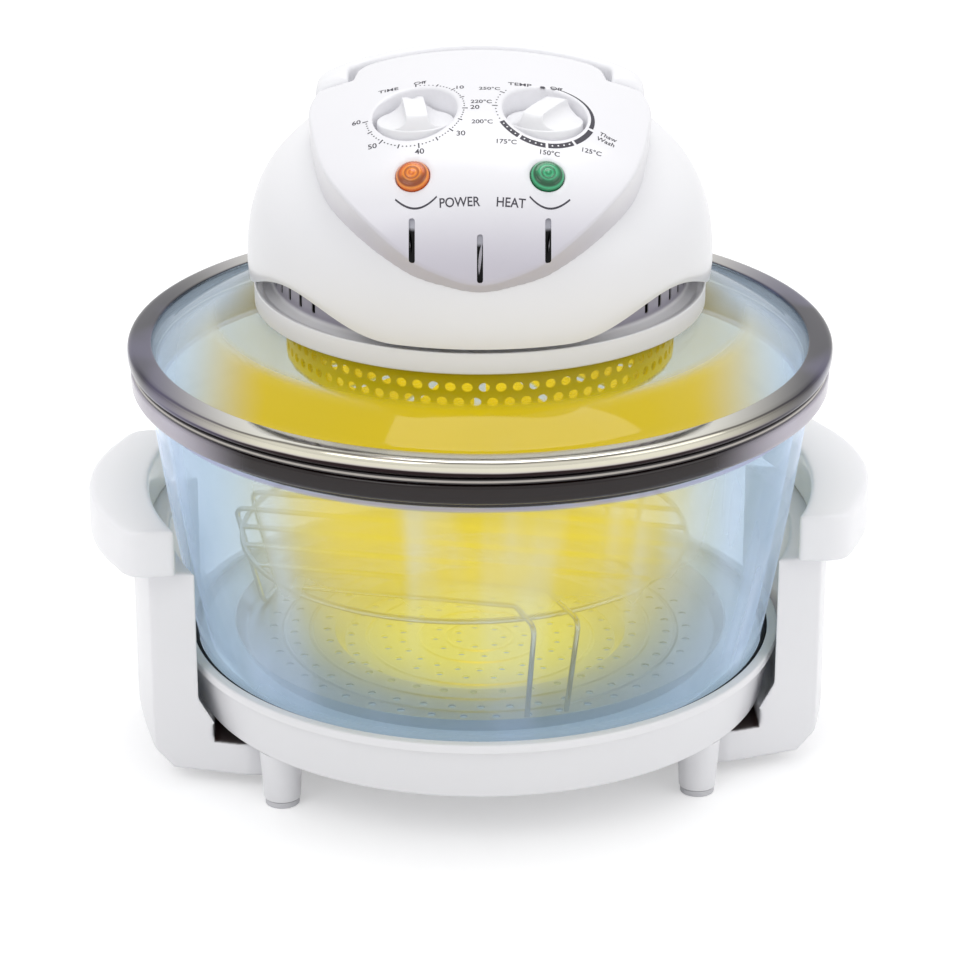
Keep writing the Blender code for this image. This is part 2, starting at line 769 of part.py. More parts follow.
def spoked(name, low, high, angles, surface=white, pitch=0.0):
    """Boxes of one size set round the Z axis, in one mesh; pitch leans each about its own spoke."""
    size = Vector(high) - Vector(low)
    centre = (Vector(high) + Vector(low)) / 2
    work = bmesh.new()
    for angle in angles:
        bmesh.ops.create_cube(work, size=1.0, matrix=Matrix.Rotation(angle, 4, "Z") @ Matrix.Translation(centre)
                              @ Matrix.Rotation(pitch, 4, "X") @ Matrix.Diagonal((*size, 1.0)))
    return from_bmesh(name, work, surface)


def vent_angles():
    """Five vents beside the front and five beside the back, on each side."""
    angles = []
    for side in (0, math.pi):
        for end in (-1, 1):
            for i in range(vent_count):
                angles.append(side + end * (vent_centre + vent_pitch * (i - (vent_count - 1) / 2)))
    return angles


def build_head_base():
    wall_in = vent_wall_r - shell
    flange_r = dome_r - shell - 0.0008
    hole_r = drive_shaft_r + shaft_hole_play
    base = turned("head_base", [
        (wall_in, vent_wall_top_z + shell), (flange_r, vent_wall_top_z + shell), (flange_r, vent_wall_top_z),
        (vent_wall_r, vent_wall_top_z), (vent_wall_r, ring_top_z + 0.0030),
        (vent_wall_r + 0.0016, ring_top_z + 0.0004), (ring_r - 0.0042, ring_top_z - 0.0014),
        (ring_r - ring_lip, ring_top_z), (ring_r - 0.0003, ring_top_z), (ring_r, ring_top_z - 0.0004),
        (ring_r, ring_low_z + 0.0010), (ring_r - 0.0010, ring_low_z), (glass_hole_r + 0.0010, ring_low_z),
        (glass_hole_r + 0.0004, plate_low_z), (hole_r, plate_low_z), (hole_r, plate_top_z),
        (wall_in, plate_top_z)], white)
    cut(base, spoked("vent_cuts", (wall_in - shell, -vent_width / 2, ring_top_z + vent_lift),
                     (vent_wall_r + shell, vent_width / 2, vent_wall_top_z - vent_end_gap), vent_angles()))


def edge_wave(angle):
    """Rise of the dome's lower edge: it lifts over each group of vents."""
    off_side = abs(math.remainder(angle, math.pi))
    share = (off_side - dome_wave_centre) / dome_wave_span
    return dome_wave * math.cos(share * math.pi / 2) ** 2 if abs(share) < 1 else 0.0


def dome_outline(grow, low_z):
    """Outer profile of the dome from its foot up to the axis."""
    shares = [math.cos(i / 10 * math.pi / 2) ** (2 / dome_power) for i in range(11)]
    profile = [((dome_r + grow) * share, dome_z((dome_r + grow) * share, grow)) for share in shares[:-1]]
    return [(dome_edge_r + grow, low_z)] + profile + [(0.0, dome_z(0.0, grow))]


def build_dome():
    outer = dome_outline(0.0, dome_edge_z)
    inner = dome_outline(-shell, dome_edge_z)
    dome = baked(turned("head_dome", outer[::-1] + inner, white))
    for vert in dome.data.vertices:
        share = (dome_foot_z + 0.012 - vert.co.z) / (dome_foot_z + 0.012 - dome_edge_z)
        if share > 0:
            vert.co.z += edge_wave(math.atan2(vert.co.y, vert.co.x)) * min(share, 1.0)
    cut(dome, panel_prism("dome_opening", dome_opening_inset))
    cut(dome, rod("gland_hole", gland_r + seat_gap, dome_r - gland_cut_reach, dome_r + gland_cut_reach, white,
                  gland_frame()))


def gland_frame():
    return Matrix.Translation((0, 0, gland_z)) @ Matrix.Rotation(-math.pi / 2, 4, "X")


def panel_outline():
    """The shield shape, drawn face-on in the panel's own tilted plane, counter-clockwise from its tip."""
    right = smooth([(0.0143, panel_tip + 0.0021)] + panel_shoulder, 2)
    rear = [panel_notch] + smooth(panel_rear, 2) + [(0.0, panel_back)]
    half = right + rear
    return [(0.0, panel_tip)] + half + [(-x, y) for x, y in reversed(half[:-1])]


def panel_prism(name, distance):
    frame = (Matrix.Translation((0, panel_centre_y, panel_centre_z)) @ Matrix.Rotation(panel_tilt, 4, "X"))
    return slab(name, inset(panel_outline(), distance), -panel_half_depth, panel_half_depth, white, frame)


def crown_block(name, distance, lift=0.0, depth=0.0):
    """Everything under the crown: its profile along Y, extruded along X and drooped to the sides."""
    count = 22
    profile = []
    for i in range(count + 1):
        angle = math.pi * i / count
        swing = math.copysign(abs(math.cos(angle)) ** (2 / crown_power), math.cos(angle))
        profile.append(((crown_reach - distance) * swing,
                        crown_foot_z + (crown_rise - distance) * math.sin(angle) ** (2 / crown_power) + lift))
    if depth:
        profile += [(distance - crown_reach, crown_foot_z - depth), (crown_reach - distance, crown_foot_z - depth)]
    item = slab(name, profile, -crown_half_width, crown_half_width)
    work = bmesh.new()
    work.from_mesh(item.data)
    for vert in work.verts:
        vert.co = Vector((vert.co.z, vert.co.x, vert.co.y))
    for i in range(1, crown_slices):
        where = crown_half_width * (2 * i / crown_slices - 1)
        bmesh.ops.bisect_plane(work, geom=work.verts[:] + work.edges[:] + work.faces[:],
                               plane_co=(where, 0, 0), plane_no=(1, 0, 0))
    for vert in work.verts:
        vert.co.z -= vert.co.x ** 2 / (2 * crown_side_r)
    work.to_mesh(item.data)
    work.free()
    item.matrix_world = Matrix.Identity(4)
    return item


def build_panel():
    panel = crown_block("control_panel", 0.0)
    combine(panel, panel_prism("panel_edge", 0.0), "INTERSECT")
    hollow = crown_block("panel_hollow", panel_wall, depth=crown_skirt)
    combine(hollow, panel_prism("panel_hollow_edge", panel_wall), "INTERSECT")
    for side in (-1, 1):
        cut(hollow, rod(f"well_cup_{side}", well_r + well_wall, well_floor() - well_wall, well_cut_height, white,
                        dial_frame(side)))
    cut(panel, hollow)
    seat_z = dome_foot_z - dome_rise
    cut(panel, turned("panel_seat", dome_outline(seat_gap, seat_z)[::-1] + [(0.0, seat_z)], white))
    for side in (-1, 1):
        frame = dial_frame(side)
        cut(panel, rod(f"well_{side}", well_r, well_floor(), well_cut_height, white, frame, steps=28),
            rod(f"well_shaft_{side}", shaft_hole_r, -well_cut_height, well_floor() + cut_margin, white, frame,
                steps=12),
            rod(f"lens_hole_{side}", lens_r + seat_gap, -lens_cut_depth, lens_cut_depth, white,
                crown_frame(side * lamp_x, lamp_y)))
    for i, (x, low, high) in enumerate([(-side_slot_x, side_slot_low_z, side_slot_high_z),
                                        (0.0, middle_slot_low_z, middle_slot_high_z),
                                        (side_slot_x, side_slot_low_z, side_slot_high_z)]):
        cut(panel, block(f"slot_{i}", (x - slot_width / 2, -2 * crown_reach, low),
                         (x + slot_width / 2, slot_depth - crown_reach, high)))
    for side in (-1, 1):
        rib_x = handle_rib_x()
        join(panel, block(f"handle_rib_{side}", (side * rib_x - handle_rib / 2, handle_pivot_y - handle_rib_half,
                                                 switch_low_z() + handle_rib_foot),
                          (side * rib_x + handle_rib / 2, handle_pivot_y + handle_rib_half,
                           crown_z(rib_x, handle_pivot_y) - panel_wall / 2)))
    bearing = rod("handle_bearing", handle_pin_r + run_gap, -handle_outer_x, handle_outer_x, white,
                  Matrix.Translation((0, handle_pivot_y, handle_pivot_z)) @ Matrix.Rotation(math.pi / 2, 4, "Y"),
                  steps=12)
    cut(panel, bearing)


def handle_rib_x():
    return handle_pin_inner_x + cam_width + handle_rib_gap + handle_rib / 2


def plunger_top_z():
    return handle_pivot_z - cam_low_r - cam_travel - seat_gap


def switch_low_z():
    return plunger_top_z() - plunger_rise - switch_height


def dial_frame(side):
    """A frame on a dial's axis, at its knob's disc: the axis leans outward from straight up."""
    disc_z = crown_z(dial_x, dial_y - well_r) + knob_rise
    return Matrix.Translation((side * dial_x, dial_y, disc_z)) @ Matrix.Rotation(side * dial_lean, 4, "Y")


def well_floor():
    return -knob_skirt - run_gap


def build_dial(name, side, knob_turn, body_r, body_length):
    """A knob in its well, its shaft, and under the well the unit that the shaft turns."""
    frame = dial_frame(side)
    knob_frame = frame @ Matrix.Rotation(knob_turn, 4, "Z")
    top = knob_bar_height
    low = -knob_skirt
    knob = turned(f"{name}_knob", [
        (0.0, top), (knob_r * 0.72, top), (knob_r * 0.90, top * 0.80), (knob_r * 0.97, top * 0.45),
        (knob_r, 0.0), (knob_r, low), (0.0, low)], white, 28, knob_frame)
    across = knob_frame @ Matrix.Rotation(math.pi / 2, 4, "X")
    half = knob_bar_width / 2
    flank = [(half, top + knob_cut_margin)] + smooth([
        (half + knob_flare * 0.02, top * 0.80), (half + knob_flare * 0.15, top * 0.40),
        (half + knob_flare * 0.45, top * 0.12), (half + knob_flare, 0.0)], 2)
    edge = knob_r + knob_cut_margin
    scoop = flank + [(edge, -knob_lobe_fall), (edge, top + knob_cut_margin)]
    cut(knob, slab(f"{name}_scoop_right", scoop, -edge, edge, white, across),
        slab(f"{name}_scoop_left", [(-x, z) for x, z in reversed(scoop)], -edge, edge, white, across),
        rod(f"{name}_bore", shaft_r + seat_gap, low - cut_margin, low + shaft_bite + run_gap, white, frame,
            steps=12))
    body_top = well_floor() - well_wall - seat_gap
    shaft = rod(f"{name}_shaft", shaft_r, body_top - body_bore + run_gap, low + shaft_bite, grey_metal, frame,
                steps=12)
    body = rod(f"{name}_unit", body_r, body_top - body_length, body_top, grey_metal, frame)
    cut(body, rod(f"{name}_body_bore", shaft_hole_r, body_top - body_bore, body_top + cut_margin, white, frame,
                  steps=12))
    carry(pivot(f"{name}_axis", frame), knob, shaft)


def build_lamp(name, side, surface):
    frame = crown_frame(side * lamp_x, lamp_y)
    turned(f"{name}_lens", [
        (0.0, lens_dome), (lens_r * 0.5, lens_dome * 0.86), (lens_r * 0.85, lens_dome * 0.45),
        (lens_r, 0.0004), (lens_r, -lens_seat), (0.0, -lens_seat)], surface, small_steps, frame)
    rod(f"{name}_lamp", lamp_body_r, -lens_seat - seat_gap - lamp_body_length, -lens_seat - seat_gap, grey_metal,
        frame, steps=12)


def build_handle():
    """The folding safety handle: a drooped U with a hub and a pin on each arm."""
    outer_x, inner_x = handle_outer_x, handle_inner_x
    corner_in = handle_corner_r - (outer_x - inner_x)
    corner_x = outer_x - handle_corner_r
    corner_y = handle_back_y - handle_corner_r
    plan = [(outer_x, handle_pivot_y)]
    plan += arc((corner_x, corner_y), handle_corner_r, 0, math.pi / 2, 7)
    plan += arc((-corner_x, corner_y), handle_corner_r, math.pi / 2, math.pi, 7)
    plan += [(-outer_x, handle_pivot_y), (-inner_x, handle_pivot_y)]
    plan += arc((corner_in - inner_x, handle_bar_y - corner_in), corner_in, math.pi, math.pi / 2, 4)
    plan += arc((inner_x - corner_in, handle_bar_y - corner_in), corner_in, math.pi / 2, 0, 4)
    plan += [(inner_x, handle_pivot_y)]
    handle = crown_block("handle", 0.0, handle_lift)
    combine(handle, slab("handle_plan", plan, crown_foot_z, crown_foot_z + crown_rise + handle_depth),
            "INTERSECT")
    cut(handle, crown_block("handle_underside", 0.0, handle_lift - handle_depth))
    axis = (Matrix.Translation((0, handle_pivot_y, handle_pivot_z)) @ Matrix.Rotation(math.pi / 2, 4, "Y"))
    pin_outer_x = outer_x - handle_pin_inset
    for side in (-1, 1):
        span = sorted((side * (inner_x + handle_hub_inset), side * (outer_x - handle_hub_inset)))
        join(handle, rod(f"handle_hub_{side}", handle_hub_r, *span, white, axis, steps=16))
    for side in (-1, 1):
        bore = sorted((side * (inner_x - cut_margin), side * (pin_outer_x + seat_gap)))
        cut(handle, rod(f"handle_pin_bore_{side}", handle_pin_r + seat_gap, *bore, white, axis, steps=12))
    pins = []
    for name, side in (("left", -1), ("right", 1)):
        span = sorted((side * handle_pin_inner_x, side * pin_outer_x))
        pins.append(rod(f"handle_pin_{name}", handle_pin_r, *span, grey_metal, axis, steps=12))
    cam_frame = (Matrix.Translation((handle_pin_inner_x, handle_pivot_y, handle_pivot_z))
                 @ Matrix.Rotation(math.pi / 2, 4, "Z") @ Matrix.Rotation(math.pi / 2, 4, "X"))
    join(pins[1], slab("handle_cam", cam_plan(), handle_hub_inset, cam_width, grey_metal, cam_frame))
    carry(pivot("handle_axis", axis), handle, *pins)


def cam_plan():
    """The cam: its radius falls by the travel over the sweep, so the plunger follows in a constant ratio."""
    count = 12
    down = -math.pi / 2
    spiral = []
    for i in range(count + 1):
        angle = down - cam_sweep * (count - i) / count
        radius = cam_low_r + cam_travel * i / count
        spiral.append((radius * math.cos(angle), radius * math.sin(angle)))
    back = arc((0, 0), cam_low_r, down + math.radians(35), down + 2 * math.pi - cam_sweep, 10)
    return spiral + back[:-1]


def build_switch():
    x = handle_pin_inner_x + cam_width / 2
    top = plunger_top_z()
    low = switch_low_z()
    spot = Matrix.Translation((x, handle_pivot_y, 0))
    plunger = rod("switch_plunger", plunger_r, top - plunger_length, top, black_plastic, spot, steps=12,
                  top_radius=plunger_r * 0.5)
    switch = block("safety_switch", (x - switch_width / 2, handle_pivot_y - switch_depth / 2, low),
                   (handle_rib_x() - handle_rib / 2 - seat_gap, handle_pivot_y + switch_depth / 2,
                    low + switch_height), black_plastic)
    cut(switch, rod("switch_bore", plunger_r + seat_gap, top - plunger_length - run_gap,
                    low + switch_height + cut_margin, white, spot, steps=12))
    carry(pivot("switch_axis", spot @ Matrix.Translation((0, 0, top))), plunger)


def build_heater():
    cage_top = plate_low_z - seat_gap
    flange_low = cage_top - cage_sheet
    inner_r = cage_r - cage_sheet
    turned("heater_cage", [
        (cage_r - cage_flange, cage_top), (cage_r, cage_top), (cage_r, cage_bottom_z), (inner_r, cage_bottom_z),
        (inner_r, flange_low), (cage_r - cage_flange, flange_low)], steel)
    top = flange_low - seat_gap
    edge_r = inner_r - seat_gap
    low = top - reflector_sheet
    hole_r = drive_shaft_r + shaft_hole_play
    turned("heat_reflector", [
        (hole_r, top), (edge_r, top), (edge_r, top - reflector_lip),
        (edge_r - reflector_sheet, top - reflector_lip), (edge_r - reflector_sheet, low), (hole_r, low)], steel)
    guard_top = cage_bottom_z - seat_gap
    guard = turned("heater_guard", [
        (0.0, guard_top), (cage_r, guard_top), (cage_r, guard_top - guard_sheet), (0.0, guard_top - guard_sheet)],
        steel)
    cut(guard, spoked("guard_slot_cuts", (guard_hub_r, -guard_slot_width / 2, guard_top - guard_sheet - cut_margin),
                      (cage_r - guard_rim, guard_slot_width / 2, guard_top + cut_margin),
                      [2 * math.pi * i / guard_slots for i in range(guard_slots)]))
    start = math.pi / 2 + lamp_gap_angle / 2
    route = arc((0, 0), lamp_ring_r, start, start + 2 * math.pi - lamp_gap_angle, 32)
    tube("halogen_tube", [(*point, lamp_z) for point in route], lamp_tube_r, quartz)
    for i, side in enumerate((-1, 1), start=1):
        angle = math.pi / 2 - side * lamp_gap_angle / 2
        spot = (Matrix.Translation((lamp_ring_r * math.cos(angle), lamp_ring_r * math.sin(angle), 0))
                @ Matrix.Rotation(angle + math.pi / 2, 4, "Z"))
        span = sorted((side * holder_gap, side * holder_length))
        block(f"tube_holder_{i}", (span[0], -holder_width / 2, lamp_z - lamp_tube_r - holder_rim),
              (span[1], holder_width / 2, low - seat_gap), ceramic, spot)


def build_fan(name, low, height, radius, blades, surface):
    """A hub with pitched blades, bored for the drive shaft."""
    fan = rod(name, hub_r, low, low + height, surface)
    middle = low + height / 2
    blade_half = height * fan_blade_share
    join(fan, spoked(f"{name}_blades", (hub_r * 0.7, -blade_half, middle - fan_blade / 2),
                     (radius, blade_half, middle + fan_blade / 2),
                     [2 * math.pi * i / blades for i in range(blades)], surface, fan_pitch))
    return cut(fan, rod(f"{name}_bore", drive_shaft_r + seat_gap, low - cut_margin, low + height + cut_margin,
                        steps=12))


def build_drive():
    bracket_low = plate_top_z + seat_gap
    bracket_top = bracket_low + bracket_sheet
    collar_r = motor_r + run_gap
    ledge_r = motor_r - bracket_ledge
    turned("motor_bracket", [
        (collar_r, bracket_low + bracket_height), (collar_r + bracket_sheet, bracket_low + bracket_height),
        (collar_r + bracket_sheet, bracket_top), (bracket_r, bracket_top), (bracket_r, bracket_low),
        (ledge_r, bracket_low), (ledge_r, bracket_top), (collar_r, bracket_top)], grey_metal,
        small_steps + 8)
    bore_r = drive_shaft_r + run_gap
    turned("motor", [
        (bore_r, motor_top_z), (motor_r - 0.006, motor_top_z), (motor_r, motor_top_z - 0.005),
        (motor_r, motor_low_z), (bore_r, motor_low_z)], grey_metal, small_steps + 8)
    shaft_top = cooler_z + cooler_height + shaft_end
    shaft = rod("drive_shaft", drive_shaft_r, fan_z - shaft_end, shaft_top, steel, steps=12)
    fan = build_fan("convection_fan", fan_z, fan_height, fan_r, fan_blades, steel)
    cooler = build_fan("cooling_fan", cooler_z, cooler_height, cooler_r, cooler_blades, black_plastic)
    carry(pivot("fan_axis", Matrix.Identity(4)), shaft, fan, cooler)


def build_gland():
    wall_y = dome_r - shell - gland_set_in
    turned("cord_gland", [
        (gland_bore_r, wall_y - gland_flange + gland_length), (gland_r, wall_y - gland_flange + gland_length),
        (gland_r, wall_y), (gland_flange_r, wall_y), (gland_flange_r, wall_y - gland_flange),
        (gland_bore_r, wall_y - gland_flange)], dark_rubber, small_steps, gland_frame())


def main():
    build_stand()
    for side, angle in (("right", 0), ("left", math.pi)):
        frame = stand_frame @ Matrix.Rotation(angle, 4, "Z")
        build_arm(side, frame)
        build_grip(side, frame)
    build_bowl()
    build_dish()
    build_rack()
    build_lid()
    build_head_base()
    build_dome()
    build_panel()
    build_dial("timer", -1, timer_knob_turn, timer_body_r, timer_body_length)
    build_dial("thermostat", 1, thermostat_knob_turn, thermostat_body_r, thermostat_body_length)
    build_lamp("power", -1, amber)
    build_lamp("heat", 1, green)
    build_handle()
    build_switch()
    build_heater()
    build_drive()
    build_gland()


main()
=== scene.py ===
"""Halogen oven: fine shapes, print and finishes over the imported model.

Units are metres, +Z is up, the control panel faces -Y and the oven stands on z = 0.
"""
import math

import bmesh
import bpy
from bpy.props import FloatProperty, FloatVectorProperty, IntProperty, PointerProperty
from mathutils import Matrix, Vector
from mathutils.geometry import delaunay_2d_cdt


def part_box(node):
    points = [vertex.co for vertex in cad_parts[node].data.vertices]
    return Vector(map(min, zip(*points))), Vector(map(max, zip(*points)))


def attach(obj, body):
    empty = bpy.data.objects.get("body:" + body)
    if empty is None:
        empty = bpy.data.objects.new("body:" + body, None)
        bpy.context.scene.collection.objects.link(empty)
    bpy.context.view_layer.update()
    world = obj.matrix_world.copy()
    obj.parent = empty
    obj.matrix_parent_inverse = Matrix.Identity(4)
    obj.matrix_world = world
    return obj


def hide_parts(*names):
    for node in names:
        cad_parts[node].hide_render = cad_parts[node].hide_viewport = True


bl_info = {
    "name": "Halogen oven",
    "version": (1, 0, 0),
    "blender": (4, 5, 0),
    "location": "3D View > Sidebar > Oven",
    "description": "Makes the oven's visible pieces, their finishes and a plain stage",
    "category": "Object",
}

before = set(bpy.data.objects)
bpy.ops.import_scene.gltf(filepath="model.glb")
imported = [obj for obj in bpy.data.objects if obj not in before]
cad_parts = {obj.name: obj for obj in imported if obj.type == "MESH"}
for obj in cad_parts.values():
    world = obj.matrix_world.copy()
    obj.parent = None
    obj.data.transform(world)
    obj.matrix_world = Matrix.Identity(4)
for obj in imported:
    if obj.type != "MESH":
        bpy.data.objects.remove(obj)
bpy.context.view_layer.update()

# Sizes that the pieces share with the solids
seat_gap = 0.0003
stand_turn = math.radians(3.5)
bowl_wall = 0.0050
bowl_heel_r = 0.1420
bowl_neck_r = 0.1650
bowl_bulge = 0.0015
bowl_low_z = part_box("glass_bowl")[0].z
bowl_wall_low_z = bowl_low_z + 0.0070
bowl_floor_z = bowl_low_z + bowl_wall
bowl_rim_low_z = 0.1900
bowl_rim_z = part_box("glass_bowl")[1].z
bowl_rim_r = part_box("glass_bowl")[1].x
tray_bottom_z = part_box("base_tray")[0].z
tray_top_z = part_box("base_tray")[1].z
tray_lip_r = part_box("base_tray")[1].x
tray_side_r = tray_lip_r - 0.0028
tray_low_r = tray_side_r - 0.0040
foot_circle_r = 0.1340
foot_angle = math.radians(39.5)
foot_top_r = 0.0110
arm_inner_r = 0.1570
arm_outer_r = 0.1760
arm_half_width = 0.0570
grip_half_width = 0.0690
dish_r = 0.1260
dish_low_z = bowl_floor_z + seat_gap
dish_shelf_z = dish_low_z + 0.0070
rack_r = 0.1130
rack_z = 0.1060
rack_wire_r = 0.0015
rack_frame = Matrix.Translation((-0.0080, 0.0040, 0)) @ Matrix.Rotation(math.radians(-12.0), 4, "Z")
band_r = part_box("lid_band")[1].x
band_low_z, band_top_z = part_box("lid_band")[0].z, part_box("lid_band")[1].z
glass_low_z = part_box("lid_glass")[0].z
glass_thickness = 0.0042
glass_edge_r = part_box("lid_glass")[1].x
glass_bend_r = glass_edge_r - 0.0125
glass_hole_r = 0.0985
glass_rise = 0.0203
ring_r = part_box("head_base")[1].y
ring_low_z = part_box("head_base")[0].z
ring_top_z = ring_low_z + 0.0107
vent_wall_r = ring_r - 0.0094
vent_top_z = 0.2620
dome_r = 0.1144
dome_foot_z = 0.2550
dome_rise = 0.0840
dome_power = 2.5
dome_edge_z = 0.2462
shell = 0.0022
crown_reach = dome_r + 0.0031
crown_foot_z = 0.2610
crown_rise = 0.0928
crown_power = 2.3
crown_side_r = 0.2000
panel_tilt = math.radians(30.0)
panel_centre = Vector((0.0, -0.0450, 0.3450))
panel_up = Vector((0.0, math.cos(panel_tilt), math.sin(panel_tilt)))
panel_out = Vector((0.0, -math.sin(panel_tilt), math.cos(panel_tilt)))
panel_tip = -0.0943
panel_shoulder = [(0.0322, -0.0858), (0.0511, -0.0713), (0.0675, -0.0510), (0.0760, -0.0306),
                  (0.0813, 0.0020), (0.0815, 0.0200), (0.0783, 0.0360)]
panel_notch = (0.0615, 0.0376)
panel_rear = [(0.0595, 0.0520), (0.0520, 0.0600), (0.0300, 0.0630)]
panel_back = 0.0640
dial_x, dial_y = 0.0305, -0.0527
well_r = 0.0200
well_floor = -0.0068
knob_r = 0.0182
lamp_x, lamp_y = 0.0312, -0.0907
lens_r = 0.0078
slots = [(-0.0314, 0.2889, 0.3080), (0.0, 0.2804, 0.3018), (0.0314, 0.2889, 0.3080)]
slot_width = 0.0028
pivot_y, pivot_z = 0.0130, 0.3375
cage_r = 0.0962
cage_low_z, cage_top_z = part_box("heater_cage")[0].z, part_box("heater_cage")[1].z
cage_rows, cage_row_height = (0.2140, 0.2214), 0.0074
lamp_ring_r, lamp_z = 0.0720, 0.2200
gland_z, outlet_r = 0.2780, 0.0075
beam_low_z, arm_top_z = 0.0070, 0.1147
grip_low_z, grip_top_z = 0.1150, 0.1400
foot_low_z, foot_top_z = 0.0033, 0.0297
print_lift = 0.00008
weld = 2e-6
least_area = 2e-8


def tone(red, green, blue):
    """A colour as read off a screen, 0 to 255, as the plain numbers that a shader takes."""
    return tuple(((c / 255 + 0.055) / 1.055) ** 2.4 if c > 10 else c / 255 / 12.92 for c in (red, green, blue))


def full(colour):
    return (*colour, 1.0)


def crown_z(x, y):
    share = min(abs(y) / crown_reach, 1.0)
    return crown_foot_z + crown_rise * (1 - share ** crown_power) ** (1 / crown_power) - x * x / (2 * crown_side_r)


def crown_y(x, z):
    """Where the crown's front face has that height."""
    share = (z + x * x / (2 * crown_side_r) - crown_foot_z) / crown_rise
    return -crown_reach * (1 - share ** crown_power) ** (1 / crown_power)


def dome_z(radius, grow=0.0):
    share = min(radius / (dome_r + grow), 1.0)
    return dome_foot_z + (dome_rise + grow) * (1 - share ** dome_power) ** (1 / dome_power)


def crown_frame(x, y):
    """A frame on the crown: local Z leaves the face and local Y runs up its slope."""
    step = 0.0005
    slope_x = (crown_z(x + step, y) - crown_z(x - step, y)) / (2 * step)
    slope_y = (crown_z(x, y + step) - crown_z(x, y - step)) / (2 * step)
    normal = Vector((-slope_x, -slope_y, 1)).normalized()
    across = Vector((0, 1, 0)).cross(normal).normalized()
    turn = Matrix((across, normal.cross(across), normal)).transposed().to_4x4()
    return Matrix.Translation((x, y, crown_z(x, y))) @ turn


def dial_frame(side):
    """A frame on a dial's axis, at its knob's disc."""
    disc_z = crown_z(dial_x, dial_y - well_r) + 0.0036
    return Matrix.Translation((side * dial_x, dial_y, disc_z)) @ Matrix.Rotation(side * math.radians(2.0), 4, "Y")


def bowl_outer_r(height):
    share = (height - bowl_wall_low_z) / (bowl_rim_low_z - bowl_wall_low_z)
    return bowl_heel_r + (bowl_neck_r - bowl_heel_r) * share + bowl_bulge * 4 * share * (1 - share)


def solve(above, low, high):
    """The value between low and high where above() turns true."""
    for step in range(32):
        middle = (low + high) / 2
        if above(middle):
            high = middle
        else:
            low = middle
    return low


def softened(points, radii, closed=True, steps=5):
    """Rounds each corner of a chain of points by its own radius."""
    made = []
    count = len(points)
    for i, (here, radius) in enumerate(zip(points, radii)):
        corner = Vector(here)
        if not radius or (not closed and i in (0, count - 1)):
            made.append(corner)
            continue
        back = Vector(points[i - 1]) - corner
        on = Vector(points[(i + 1) % count]) - corner
        reach = min(radius / math.tan(max(back.angle(on), 0.05) / 2), back.length * 0.49, on.length * 0.49)
        start, end = corner + back.normalized() * reach, corner + on.normalized() * reach
        for k in range(steps + 1):
            t = k / steps
            made.append(start * (1 - t) ** 2 + corner * (2 * t * (1 - t)) + end * t ** 2)
    return made


def profile(*points):
    """A closed outline of (radius, height) points; a third number rounds that corner."""
    return [tuple(p) for p in softened([p[:2] for p in points], [p[2] if len(p) > 2 else 0 for p in points])]


def curve_through(points, per_span, before=None):
    """A smooth curve through the points."""
    chain = [before or points[0]] + list(points) + [points[-1]]
    made = []
    for a, b, c, d in zip(chain, chain[1:], chain[2:], chain[3:]):
        for i in range(per_span):
            t = i / per_span
            made.append(tuple(0.5 * (2 * q + (r - p) * t + (2 * p - 5 * q + 4 * r - s) * t * t
                                     + (3 * q - p - 3 * r + s) * t ** 3) for p, q, r, s in zip(a, b, c, d)))
    return made + [tuple(points[-1])]


def evenly(loop, spacing):
    """Points at an even spacing along a closed loop."""
    loop = [Vector(p) for p in loop]
    lengths = [(loop[(i + 1) % len(loop)] - here).length for i, here in enumerate(loop)]
    count = int(sum(lengths) / spacing)
    step = sum(lengths) / count
    made = []
    start, i = 0.0, 0
    for k in range(count):
        while start + lengths[i] < k * step and i < len(loop) - 1:
            start += lengths[i]
            i += 1
        share = (k * step - start) / max(lengths[i], 1e-9)
        made.append(loop[i].lerp(loop[(i + 1) % len(loop)], share))
    return made


def inset(loop, distance):
    """Moves a counter-clockwise loop inward along its mean normals."""
    made = []
    for i, here in enumerate(loop):
        here = Vector(here)
        before = here - Vector(loop[i - 1])
        after = Vector(loop[(i + 1) % len(loop)]) - here
        normal = (Vector((-before.y, before.x)).normalized() + Vector((-after.y, after.x)).normalized()) / 2
        made.append(here + normal * distance / max(normal.length_squared, 0.3))
    return made


def inset_clean(loop, distance):
    """An inward copy of a loop, without the points that fall too near it."""
    made = []
    for p in inset(loop, distance):
        if inside(p, loop) and min((p - Vector(q)).length for q in loop) > distance * 0.97:
            made.append(p)
    return made


def arc(centre, radius, start, end, count):
    return [(centre[0] + radius * math.cos(start + (end - start) * i / count),
             centre[1] + radius * math.sin(start + (end - start) * i / count)) for i in range(count + 1)]


def inside(point, loop):
    """Whether a point lies in a closed loop."""
    x, y = point[0], point[1]
    found = False
    for i in range(len(loop)):
        ax, ay = loop[i - 1][0], loop[i - 1][1]
        bx, by = loop[i][0], loop[i][1]
        if (ay > y) != (by > y) and x < (bx - ax) * (y - ay) / (by - ay) + ax:
            found = not found
    return found


def strip(work, first, second, closed=True):
    """Quads between two rows of vertices."""
    count = len(first)
    for i in range(count if closed else count - 1):
        j = (i + 1) % count
        work.faces.new((first[i], first[j], second[j], second[i]))


def turned(outline, steps, matrix=None, work=None):
    """Turns a closed outline about the Z axis."""
    work = work or bmesh.new()
    matrix = matrix or Matrix.Identity(4)
    rows = []
    for radius, height in outline:
        rows.append([work.verts.new(matrix @ Vector((radius * math.cos(2 * math.pi * k / steps),
                                                     radius * math.sin(2 * math.pi * k / steps), height)))
                     for k in range(steps)])
    for i, row in enumerate(rows):
        if max(outline[i][0], outline[i - 1][0]) > 1e-9:
            strip(work, rows[i - 1], row)
    return work


